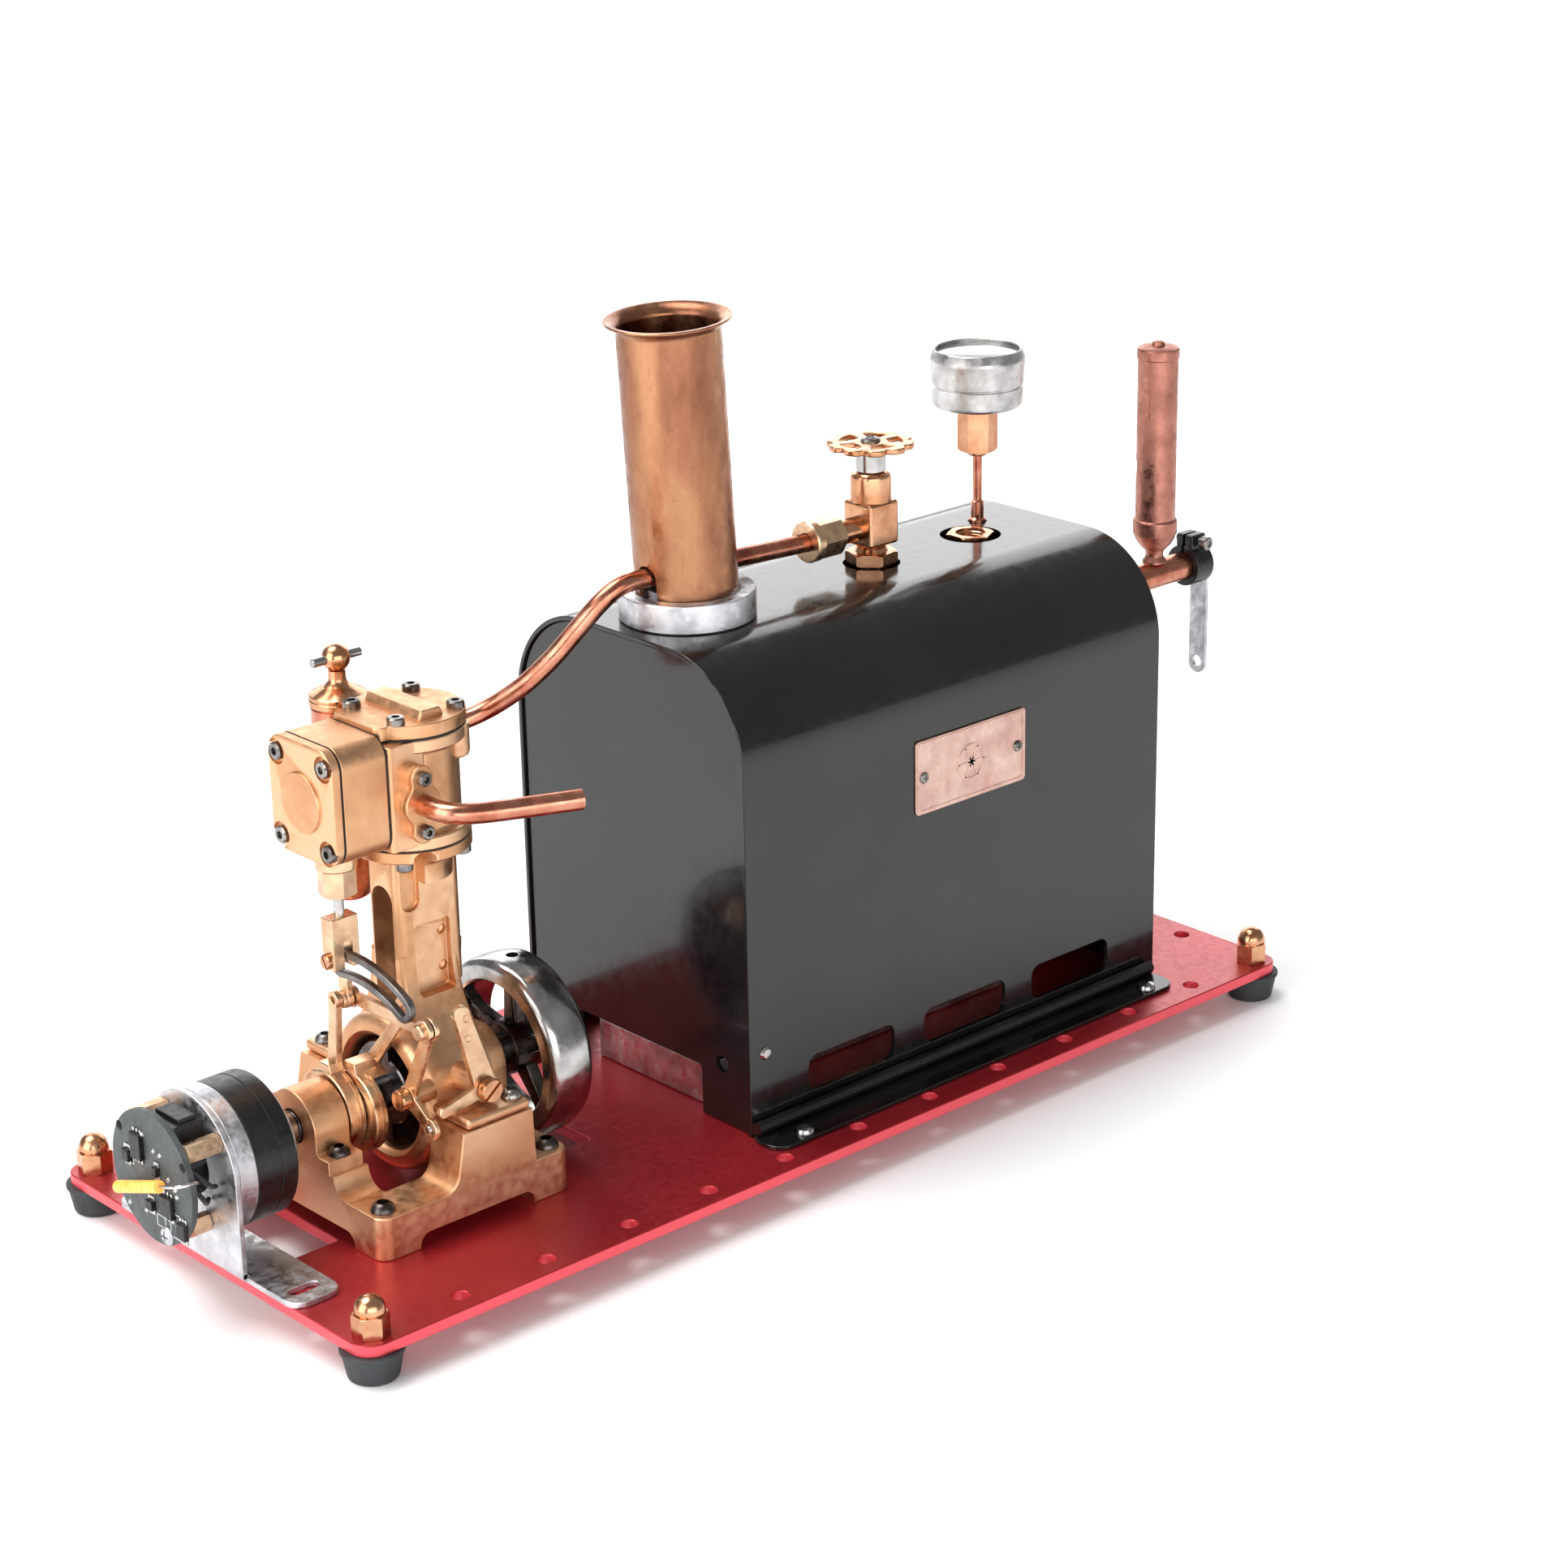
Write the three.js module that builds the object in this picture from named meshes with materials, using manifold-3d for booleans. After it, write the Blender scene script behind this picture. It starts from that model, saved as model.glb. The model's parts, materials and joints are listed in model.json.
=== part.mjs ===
// Model steam engine: a red base plate with a boxed boiler on the right and a small
// upright engine with reversing gear on the left, which turns a generator.
// Millimetres. While the pieces are made, X = 0, Y = 0 is the front left corner nut and
// Z = 0 the top of the base plate; the finished group is then moved so that the origin is
// on the floor, under the middle of the whole model.
import * as THREE from "three";
import { mergeVertices } from "three/addons/utils/BufferGeometryUtils.js";
import Module from "manifold-3d";

const wasm = await Module();
wasm.setup();

// ---- Driving dimensions ----
const NUT_SPAN_X = 300;
const NUT_SPAN_Y = 114;
const HOLE_PITCH = 25;
const PLATE_MARGIN = 6;
const PLATE_T = 3;
const FOOT_H = 7.5;
const MID_Y = NUT_SPAN_Y / 2;
const CRANK_Z = 24.3;
const ENGINE_X = 59.5;
const CRANK_R = 6;
const ROD_L = 27;
const CASE_X0 = 126.4;
const CASE_X1 = 274.8;
const CASE_HALF = 43.3;
const CASE_TOP = 121.8;
const CASE_R = 26;
const SHEET = 1.2;
const DRUM_Z = 72;
const DRUM_R = 38;
const FIT = 0.2;
const TAU = Math.PI * 2;
// Share of the listed sides that round pieces are built with, and the fewest they get.
const DETAIL = 0.46;
const FEWEST = 8;
const sidesOf = (sides) => Math.max(FEWEST, 2 * Math.round((sides * DETAIL) / 2));

// ---- Materials ----
const look = (color, roughness, metalness) =>
  new THREE.MeshStandardMaterial({ color, roughness, metalness });
const RED = look(0xa8262c, 0.45, 0.6);
const RUBBER = look(0x2a2c2d, 0.8, 0);
const BRASS = look(0xd9a860, 0.3, 1);
const BRONZE = look(0xcf9668, 0.45, 1);
const COPPER = look(0xb86f45, 0.35, 1);
const STEEL = look(0x9a9a9c, 0.3, 1);
const DARK_STEEL = look(0x4a4444, 0.35, 1);
const BLACK = look(0x151515, 0.3, 0.1);
const ALUMINIUM = look(0xc9c9cc, 0.4, 1);
const GLASS = look(0xe8f0f0, 0.05, 0);
const BOARD = look(0x3c4042, 0.6, 0);
const NEEDLE = look(0xc03028, 0.5, 0);

// ---- Solids ----
// Local X, Y of a section and the direction it is drawn along, for each axis.
const TURN = {
  x: [new THREE.Vector3(0, 1, 0), new THREE.Vector3(0, 0, 1), new THREE.Vector3(1, 0, 0)],
  y: [new THREE.Vector3(1, 0, 0), new THREE.Vector3(0, 0, 1), new THREE.Vector3(0, 1, 0)],
  z: [new THREE.Vector3(1, 0, 0), new THREE.Vector3(0, 1, 0), new THREE.Vector3(0, 0, 1)],
};
const turned = (axis) => new THREE.Matrix4().makeBasis(...TURN[axis]);

// A closed geometry as a solid; faces with two corners in one place are dropped.
function solid(geometry) {
  const bare = geometry.clone();
  bare.deleteAttribute("normal");
  bare.deleteAttribute("uv");
  const merged = mergeVertices(bare, 1e-4);
  const index = merged.index.array;
  const kept = [];
  for (let i = 0; i < index.length; i += 3) {
    const [a, b, c] = [index[i], index[i + 1], index[i + 2]];
    if (a !== b && b !== c && c !== a) kept.push([a, b, c]);
  }
  const build = (faces) =>
    new wasm.Manifold(
      new wasm.Mesh({
        numProp: 3,
        vertProperties: merged.attributes.position.array,
        triVerts: new Uint32Array(faces.flat()),
      }),
    );
  const made = build(kept);
  return made.volume() < 0 ? build(kept.map(([a, b, c]) => [a, c, b])) : made;
}

// A section drawn along an axis. Sections are drawn in (Y, Z), (X, Z) or (X, Y).
function prism(shape, axis, from, to, curveSegments = 8) {
  const geometry = new THREE.ExtrudeGeometry(shape, {
    depth: to - from,
    bevelEnabled: false,
    curveSegments,
  });
  geometry.translate(0, 0, from);
  geometry.applyMatrix4(turned(axis));
  return solid(geometry);
}

function polygon([u, v], radius, sides, phase = 0) {
  const points = [];
  for (let i = 0; i < sides; i++) {
    const a = phase + (TAU * i) / sides;
    points.push(new THREE.Vector2(u + radius * Math.cos(a), v + radius * Math.sin(a)));
  }
  return new THREE.Shape(points);
}

const cylinder = (axis, centre, radius, from, to, sides = 24) =>
  prism(polygon(centre, radius, sidesOf(sides)), axis, from, to);
// A cylinder to cut a bore with, wide enough for a round pin to turn in whatever its facets do.
const bore = (axis, centre, pinRadius, from, to, sides = 24) =>
  cylinder(
    axis,
    centre,
    (pinRadius + FIT / 2) / Math.cos(Math.PI / sidesOf(sides)),
    from,
    to,
    sides,
  );
const hexagon = (axis, centre, radius, from, to, phase = 0) =>
  prism(polygon(centre, radius, 6, phase), axis, from, to);

function box(x0, x1, y0, y1, z0, z1) {
  const geometry = new THREE.BoxGeometry(x1 - x0, y1 - y0, z1 - z0);
  geometry.translate((x0 + x1) / 2, (y0 + y1) / 2, (z0 + z1) / 2);
  return solid(geometry);
}

function roundRect(u0, u1, v0, v1, r) {
  const shape = new THREE.Shape();
  shape.moveTo(u0 + r, v0);
  shape.lineTo(u1 - r, v0);
  shape.absarc(u1 - r, v0 + r, r, -Math.PI / 2, 0);
  shape.lineTo(u1, v1 - r);
  shape.absarc(u1 - r, v1 - r, r, 0, Math.PI / 2);
  shape.lineTo(u0 + r, v1);
  shape.absarc(u0 + r, v1 - r, r, Math.PI / 2, Math.PI);
  shape.lineTo(u0, v0 + r);
  shape.absarc(u0 + r, v0 + r, r, Math.PI, Math.PI * 1.5);
  return shape;
}

// A turned piece: profile of [radius, height along the axis], starting and ending on the axis.
function lathe(profile, axis, [u, v], sides = 24) {
  const geometry = new THREE.LatheGeometry(
    profile.map(([r, h]) => new THREE.Vector2(r, h)),
    sidesOf(sides),
  );
  geometry.rotateX(Math.PI / 2);
  geometry.translate(u, v, 0);
  geometry.applyMatrix4(turned(axis));
  return solid(geometry);
}

function tube(points, radius, steps, sides = 10) {
  const path = new THREE.CatmullRomCurve3(points.map((p) => new THREE.Vector3(...p)));
  const geometry = new THREE.ExtrudeGeometry(polygon([0, 0], radius, sides), {
    extrudePath: path,
    steps,
    curveSegments: 1,
  });
  return solid(geometry);
}

// A flat bar between two eyes, lying square to X.
function bar(x0, x1, [ya, za], [yb, zb], halfA, halfB, eyeA, eyeB) {
  const length = Math.hypot(yb - ya, zb - za);
  const [ny, nz] = [-(zb - za) / length, (yb - ya) / length];
  const outline = new THREE.Shape([
    new THREE.Vector2(ya + ny * halfA, za + nz * halfA),
    new THREE.Vector2(ya - ny * halfA, za - nz * halfA),
    new THREE.Vector2(yb - ny * halfB, zb - nz * halfB),
    new THREE.Vector2(yb + ny * halfB, zb + nz * halfB),
  ]);
  return prism(outline, "x", x0, x1)
    .add(cylinder("x", [ya, za], eyeA, x0, x1, 16))
    .add(cylinder("x", [yb, zb], eyeB, x0, x1, 16));
}

const model = new THREE.Group();

function add(name, made, material) {
  const { vertProperties, triVerts, numProp } = made.getMesh();
  const positions = new Float32Array((vertProperties.length / numProp) * 3);
  for (let i = 0; i < positions.length / 3; i++) {
    positions.set(vertProperties.subarray(i * numProp, i * numProp + 3), i * 3);
  }
  const geometry = new THREE.BufferGeometry();
  geometry.setAttribute("position", new THREE.BufferAttribute(positions, 3));
  geometry.setIndex(new THREE.BufferAttribute(new Uint32Array(triVerts), 1));
  geometry.computeVertexNormals();
  const mesh = new THREE.Mesh(geometry, material);
  mesh.name = name;
  model.add(mesh);
}

const CORNERS = {
  front_left: [0, 0],
  front_right: [NUT_SPAN_X, 0],
  back_left: [0, NUT_SPAN_Y],
  back_right: [NUT_SPAN_X, NUT_SPAN_Y],
};

// ---- Base plate, feet and corner nuts ----
function basePlate() {
  const outline = roundRect(
    -PLATE_MARGIN,
    NUT_SPAN_X + PLATE_MARGIN,
    -PLATE_MARGIN,
    NUT_SPAN_Y + PLATE_MARGIN,
    5.5,
  );
  const below = -PLATE_T - 1;
  let plate = prism(outline, "z", -PLATE_T, 0);
  const spots = [];
  for (let x = HOLE_PITCH; x < NUT_SPAN_X; x += HOLE_PITCH) spots.push([x, 0], [x, NUT_SPAN_Y]);
  for (const x of [0, NUT_SPAN_X]) spots.push([x, 25.3], [x, NUT_SPAN_Y - 25.3]);
  for (const spot of spots) plate = plate.subtract(cylinder("z", spot, 2.1, below, 1, 14));
  for (const spot of Object.values(CORNERS)) {
    plate = plate.subtract(cylinder("z", spot, 2.7, below, 1, 14));
  }
  // Cut-outs under the generator and under the flywheel.
  plate = plate.subtract(prism(roundRect(-2.5, 20.9, 41.5, 72.5, 1), "z", below, 1, 3));
  plate = plate.subtract(prism(roundRect(80.4, 97.4, 41.6, 72.4, 1), "z", below, 1, 3));
  add("base_plate", plate, RED);
}

function cornerPieces() {
  for (const [place, spot] of Object.entries(CORNERS)) {
    const bottom = -PLATE_T - FOOT_H;
    const foot = lathe(
      [
        [0, bottom],
        [5.4, bottom],
        [6, bottom + 0.6],
        [7.1, -PLATE_T - 1.2],
        [7.5, -PLATE_T - 1],
        [7.5, -PLATE_T],
        [2.4, -PLATE_T],
        [2.4, 5.5],
        [0, 5.5],
      ],
      "z",
      spot,
      28,
    );
    add("foot_" + place, foot, RUBBER);
    const nut = hexagon("z", spot, 4.4, 0, 5.2, 0.4)
      .add(lathe([[0, 4], [3.7, 4], [3.7, 6.4], [3.2, 8], [1.9, 9.3], [0, 9.7]], "z", spot, 20))
      .subtract(cylinder("z", spot, 2.7, -1, 6, 14));
    add("corner_nut_" + place, nut, BRASS);
  }
}

// ---- Boiler casing ----
function archShape(half, top, radius) {
  const shape = new THREE.Shape();
  shape.moveTo(MID_Y - half, 0);
  shape.lineTo(MID_Y + half, 0);
  shape.lineTo(MID_Y + half, top - radius);
  shape.absarc(MID_Y + half - radius, top - radius, radius, 0, Math.PI / 2);
  shape.lineTo(MID_Y - half + radius, top);
  shape.absarc(MID_Y - half + radius, top - radius, radius, Math.PI / 2, Math.PI);
  return shape;
}

const CHIMNEY = [147.4, MID_Y];
const VALVE = [210.7, MID_Y];
const FILLER = [247.2, MID_Y];
const GAUGE = [257.7, 64.7];
const STEAM_Z = 94.6;

function casing() {
  const front = MID_Y - CASE_HALF;
  let shell = prism(archShape(CASE_HALF, CASE_TOP, CASE_R), "x", CASE_X0, CASE_X1, 7).subtract(
    prism(
      archShape(CASE_HALF - SHEET, CASE_TOP - SHEET, CASE_R - SHEET),
      "x",
      CASE_X0 - 1,
      CASE_X1 + 1,
      7,
    ).add(box(CASE_X0 - 1, CASE_X1 + 1, front + SHEET, MID_Y + CASE_HALF - SHEET, -1, 5)),
  );
  for (const side of [-1, 1]) {
    const edge = MID_Y + side * 55;
    const wall = MID_Y + side * (CASE_HALF - SHEET / 2);
    const flange = roundRect(125, 272, Math.min(edge, wall), Math.max(edge, wall), 5);
    shell = shell.add(
      prism(flange, "z", 0, SHEET, 4).subtract(
        box(CASE_X0 - 3, CASE_X1, front + SHEET, MID_Y + CASE_HALF - SHEET, -1, 5),
      ),
    );
  }
  for (const [x0, x1] of [[146, 176], [186.6, 216.6], [226.6, 256.2]]) {
    const slot = roundRect(x0, x1, 6.1, 15.8, 3);
    shell = shell.subtract(prism(slot, "y", -5, NUT_SPAN_Y + 5, 3));
  }
  for (const [spot, r] of [[CHIMNEY, 12], [VALVE, 7.55], [FILLER, 8.4], [GAUGE, 2.6]]) {
    shell = shell.subtract(cylinder("z", spot, r, CASE_TOP - 5, CASE_TOP + 5, 28));
  }
  add("boiler_casing", shell, BLACK);

  const gap = 0.05;
  const inner = archShape(CASE_HALF - SHEET - gap, CASE_TOP - SHEET - gap, CASE_R - SHEET - gap);
  const endLeft = prism(inner, "x", CASE_X0 + 0.8, CASE_X0 + 2, 7)
    .subtract(box(CASE_X0 - 1, CASE_X0 + 4, MID_Y - 24.2, MID_Y + 24.2, -1, 13.5))
    .subtract(cylinder("x", [25, 16.2], 2.25, CASE_X0, CASE_X0 + 4, 14));
  add("casing_end_left", endLeft, BLACK);
  const endRight = prism(inner, "x", CASE_X1 - 2, CASE_X1 - 0.8, 7).subtract(
    cylinder("x", [MID_Y, STEAM_Z], 4.2, CASE_X1 - 4, CASE_X1 + 1, 20),
  );
  add("casing_end_right", endRight, BLACK);
}

const DRUM_X0 = 168;
const DRUM_X1 = 268;

function boiler() {
  let drum = cylinder("x", [MID_Y, DRUM_Z], DRUM_R, DRUM_X0, DRUM_X1, 40).subtract(
    cylinder("x", [MID_Y, DRUM_Z], DRUM_R - 1.5, DRUM_X0 + 1.5, DRUM_X1 - 1.5, 40),
  );
  const bores = [[VALVE, 5.05], [FILLER, 5.05], [GAUGE, 1.3]];
  for (const [spot, r] of bores) {
    drum = drum.subtract(cylinder("z", spot, r, DRUM_Z + 10, DRUM_Z + DRUM_R + 5, 20));
  }
  drum = drum.subtract(cylinder("x", [MID_Y, STEAM_Z], 4.2, DRUM_X1 - 5, DRUM_X1 + 2, 20));
  add("boiler_drum", drum, COPPER);

  const tray = box(131, 250, MID_Y - 21, MID_Y + 21, 0.1, 11)
    .subtract(box(132, 249, MID_Y - 20, MID_Y + 20, 1.1, 12));
  add("burner_tray", tray, STEEL);
}

function chimney() {
  const base = CASE_TOP;
  const collar = lathe(
    [
      [0, base],
      [17.2, base],
      [17.2, base + 6.8],
      [16.6, base + 7.4],
      [13.5, base + 7.4],
      [13.5, base + 6.4],
      [11, base + 6.4],
      [11, base + 8.2],
      [0, base + 8.2],
    ],
    "z",
    CHIMNEY,
    36,
  ).subtract(cylinder("z", CHIMNEY, 9.5, base - 1, base + 10, 28));
  add("chimney_collar", collar, ALUMINIUM);

  const foot = 129.1;
  const top = 197.8 - foot;
  let stack = lathe(
    [
      [0, 0],
      [12.9, 0],
      [12.9, top - 2.6],
      [13.6, top - 1.6],
      [15.2, top - 0.8],
      [15.7, top],
      [14.4, top],
      [12, top - 2.4],
      [12, 2],
      [0, 2],
    ],
    "z",
    [0, 0],
    36,
  ).subtract(cylinder("z", [0, 0], 12, -1, 3, 36));
  const notch = roundRect(-3.3, 3.3, -6, 8.8, 3.25);
  stack = stack.subtract(prism(notch, "x", -20, 20, 6));
  const lean = (-3.2 * Math.PI) / 180;
  const matrix = new THREE.Matrix4()
    .makeTranslation(CHIMNEY[0], CHIMNEY[1], foot)
    .multiply(new THREE.Matrix4().makeRotationY(lean));
  add("chimney", stack.transform(matrix.toArray()), COPPER);
}

function nameplate() {
  const front = MID_Y - CASE_HALF;
  add(
    "nameplate",
    prism(roundRect(183.5, 223, 70, 89.7, 1.2), "y", front - 0.7, front, 3),
    BRASS,
  );
}

// ---- Boiler fittings ----
function steamValve() {
  const [x, y] = VALVE;
  const body = hexagon("z", VALVE, 6.9, CASE_TOP + 0.2, 125, 0.2)
    .add(cylinder("z", VALVE, 5, 107, 123, 20))
    .add(cylinder("z", VALVE, 3.8, 124, 128, 20))
    .add(box(x - 5.15, x + 5.15, y - 5.15, y + 5.15, 127, 138.8).intersect(
      cylinder("x", [y, 132.9], 6.6, x - 6, x + 6, 24),
    ))
    .add(lathe([[0, 138], [5.3, 138], [5.3, 145.3], [4.4, 146.3], [0, 146.3]], "z", VALVE, 22))
    .add(cylinder("x", [y, 132], 3.2, 198, x - 3, 18))
    .subtract(cylinder("z", VALVE, 2.3, 128.5, 150, 14))
    .subtract(cylinder("z", VALVE, 1.5, 100, 130, 12))
    .subtract(cylinder("x", [y, 132], 1.5, 195, x, 12));
  add("steam_valve_body", body, BRASS);

  const disc = polygon(VALVE, 11.3, 36);
  const rimHoles = 5;
  let wheel = prism(disc, "z", 152.8, 154.3);
  for (let i = 0; i < 10; i++) {
    const a = (TAU * i) / 10;
    const spot = [x + 12.3 * Math.cos(a), y + 12.3 * Math.sin(a)];
    wheel = wheel.subtract(cylinder("z", spot, 1.9, 150, 160, 12));
  }
  for (let i = 0; i < rimHoles; i++) {
    const a = (TAU * (i + 0.5)) / rimHoles;
    const spot = [x + 6.3 * Math.cos(a), y + 6.3 * Math.sin(a)];
    wheel = wheel.subtract(cylinder("z", spot, 2.2, 150, 160, 12));
  }
  wheel = wheel
    .add(cylinder("z", VALVE, 3.9, 146.4, 153, 20))
    .add(cylinder("z", VALVE, 2, 133.5, 147, 14))
    .add(lathe([[0, 154.2], [2.6, 154.2], [2.3, 155.2], [0, 155.5]], "z", VALVE, 18));
  add("steam_valve_handwheel", wheel, BRASS);

  const nut = hexagon("x", [y, 132], 5.2, 190, 198)
    .add(cylinder("x", [y, 132], 5.4, 187.4, 190.2, 24))
    .subtract(cylinder("x", [y, 132], 2.65, 180, 200, 16));
  add("steam_union_nut", nut, BRASS);
}

const OILER = [56.2, 78.5];

function steamPipe() {
  const route = [
    [197.8, MID_Y, 132],
    [186, MID_Y, 132],
    [164, MID_Y, 133],
    [147, MID_Y, 133.3],
    [133.5, MID_Y, 134.2],
    [126.5, 57.2, 133.9],
    [121, 58.6, 130.6],
    [115.5, 61.3, 124.3],
    [110, 64.6, 117.4],
    [104.6, 68.2, 111.6],
    [100.4, 72.5, 107.2],
    [96, 76.2, 104],
    [90, 78.2, 102.4],
    [80, OILER[1], 101.6],
    [63.1, OILER[1], 101.2],
  ];
  add("steam_pipe", tube(route, 2.4, 40, 8), COPPER);
}

function fillerAndGauge() {
  const bush = hexagon("z", FILLER, 6.6, 117, 122.4, 0.5)
    .add(cylinder("z", FILLER, 5, 106, 118, 20))
    .subtract(cylinder("z", FILLER, 4, 100, 130, 20));
  add("filler_bush", bush, BRASS);

  const [x, y] = GAUGE;
  const siphon = tube(
    [
      [x, y, 107],
      [x, y, 128],
      [x, y, 135],
      [x, y, 142.2],
    ],
    1.2,
    4,
    8,
  ).add(cylinder("z", GAUGE, 2.25, CASE_TOP - 2, CASE_TOP + 5, 16))
    .add(cylinder("z", GAUGE, 1.7, CASE_TOP + 4, 127.7, 16));
  add("gauge_siphon_pipe", siphon, COPPER);
  const nut = hexagon("z", GAUGE, 5.35, 141.6, 152.8, 0.3)
    .add(cylinder("z", GAUGE, 3, 140.4, 142, 18))
    .add(cylinder("z", GAUGE, 3.4, 152, 153.8, 18))
    .subtract(cylinder("z", GAUGE, 1.35, 139, 142.3, 12));
  add("gauge_nut", nut, BRASS);

  const shell = lathe(
    [
      [0, 153.8],
      [11, 153.8],
      [12.1, 154.8],
      [12.1, 159.6],
      [11.8, 159.8],
      [12.2, 160.2],
      [12.7, 166.6],
      [12.6, 167.2],
      [11.7, 169.4],
      [11.2, 169.4],
      [11.2, 167.4],
      [10.8, 167.4],
      [10.8, 163],
      [0.8, 163],
      [0.8, 163.6],
      [0, 163.6],
    ],
    "z",
    GAUGE,
    40,
  );
  add("gauge_case", shell, STEEL);
  add("gauge_glass", cylinder("z", GAUGE, 11, 167.4, 168.6, 36), GLASS);
  const needle = cylinder("z", GAUGE, 1.5, 164.4, 165.2, 16)
    .add(bar2d(GAUGE, [x - 6.4, y - 6.4], 0.5, 164.5, 165.1))
    .add(cylinder("z", GAUGE, 0.6, 163.65, 164.6, 12));
  add("gauge_needle", needle, NEEDLE);
}

// A straight strip lying flat, square to Z.
function bar2d([xa, ya], [xb, yb], half, z0, z1) {
  const length = Math.hypot(xb - xa, yb - ya);
  const [nx, ny] = [(-(yb - ya) / length) * half, ((xb - xa) / length) * half];
  const outline = new THREE.Shape([
    new THREE.Vector2(xa + nx, ya + ny),
    new THREE.Vector2(xa - nx, ya - ny),
    new THREE.Vector2(xb - nx, yb - ny),
    new THREE.Vector2(xb + nx, yb + ny),
  ]);
  return prism(outline, "z", z0, z1);
}

function whistle() {
  const x = 321;
  const at = [MID_Y, STEAM_Z];
  const pipe = cylinder("x", at, 3.95, DRUM_X1 - 2, 340, 24)
    .subtract(cylinder("x", at, 2.9, DRUM_X1 - 4, 332, 20))
    .subtract(cylinder("z", [x, MID_Y], 1.2, STEAM_Z, STEAM_Z + 8, 12));
  add("whistle_pipe", pipe, COPPER);

  const bell = lathe(
    [
      [0, 98.6],
      [3.4, 98.6],
      [2.5, 100.4],
      [2.6, 101.6],
      [4.2, 103.2],
      [5.8, 105.6],
      [6.2, 107.4],
      [6.2, 110.6],
      [5.6, 111.2],
      [5.6, 157],
      [5.9, 157.2],
      [5.9, 160],
      [4.6, 160.6],
      [1.9, 160.7],
      [1.7, 161.6],
      [0, 161.8],
    ],
    "z",
    [x, MID_Y],
    30,
  )
    .subtract(cylinder("z", [x, MID_Y], 4.8, 112.5, 156, 24))
    .subtract(cylinder("z", [x, MID_Y], 1.2, 95, 114, 12))
    .subtract(box(x - 8, x - 2.4, MID_Y - 8, MID_Y + 8, 124, 128));
  add("whistle_tube", bell, BRASS);

  const lever = cylinder("x", at, 5.9, 333, 340.05, 28)
    .subtract(cylinder("x", at, 4.15, 330, 340.05, 24))
    .add(box(333.5, 339.5, MID_Y - 3, MID_Y + 3, STEAM_Z + 5, 103.6))
    .subtract(box(330, 345, MID_Y - 0.5, MID_Y + 0.5, STEAM_Z + 3.5, 110))
    .add(prism(roundRect(MID_Y - 3, MID_Y + 3, 61, STEAM_Z + 5.5, 2.9), "x", 340.05, 341.2, 6))
    .subtract(cylinder("x", [MID_Y, 64.5], 1.6, 338, 343, 14));
  add("whistle_lever", lever, ALUMINIUM);
}

// ---- Engine bed, bearings and column ----
const BED = { x0: 21, x1: 77.5, y0: 24, y1: 90, top: 11 };
const PIT = { x0: 31, x1: 67, y0: 36, y1: 78 };

function engineBed() {
  const { x0, x1, y0, y1, top } = BED;
  let bed = prism(roundRect(x0, x1, y0, y1, 3.5), "z", 0, top, 4);
  for (const y of [y0, PIT.y1]) {
    const raised = new THREE.Shape([
      new THREE.Vector2(42, top - 1),
      new THREE.Vector2(PIT.x1, top - 1),
      new THREE.Vector2(66.3, 25),
      new THREE.Vector2(46, 25),
    ]);
    bed = bed.add(prism(raised, "y", y, y + 12));
  }
  bed = bed
    .add(box(x0, PIT.x0, MID_Y - 15, MID_Y + 15, 5, 16))
    .add(box(PIT.x1, x1, MID_Y - 15, MID_Y + 15, 5, 15));
  bed = bed
    .subtract(box(PIT.x0, PIT.x1, PIT.y0, PIT.y1, -1, 40))
    .subtract(prism(roundRect(32, 66, -6, 3.8, 3), "y", y0 - 1, y1 + 1, 4))
    .subtract(prism(roundRect(35, 79, -6, 3.8, 3), "x", x0 - 1, PIT.x0 + 1, 4));
  add("engine_bed", bed, BRONZE);
}

function bearings() {
  const cap = (x0, x1, seat, half, radius) => {
    const outline = new THREE.Shape();
    outline.moveTo(MID_Y - half, seat);
    outline.lineTo(MID_Y + half, seat);
    outline.lineTo(MID_Y + half, seat + 3.5);
    outline.lineTo(MID_Y + radius, seat + 3.5);
    outline.lineTo(MID_Y + radius, CRANK_Z);
    outline.absarc(MID_Y, CRANK_Z, radius, 0, Math.PI);
    outline.lineTo(MID_Y - radius, seat + 3.5);
    outline.lineTo(MID_Y - half, seat + 3.5);
    return prism(outline, "x", x0, x1, 12).subtract(
      cylinder("x", [MID_Y, CRANK_Z], 4 + FIT, x0 - 1, x1 + 1, 24),
    );
  };
  add("bearing_cap_left", cap(20.5, 30.5, 16, 14, 9.2), BRONZE);
  add("bearing_cap_right", cap(67.3, 77.5, 15, 13, 9.2), BRONZE);
}

const BELL_PIVOT = [39, 30.9];
const LEVER_PIVOT = [56.9, 31.6];
const COLUMN_TOP = 88;
const GUIDE_R = 4.3;
const BELL_PIN_R = 1.6;
const LEVER_PIN_R = 2.2;

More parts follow.
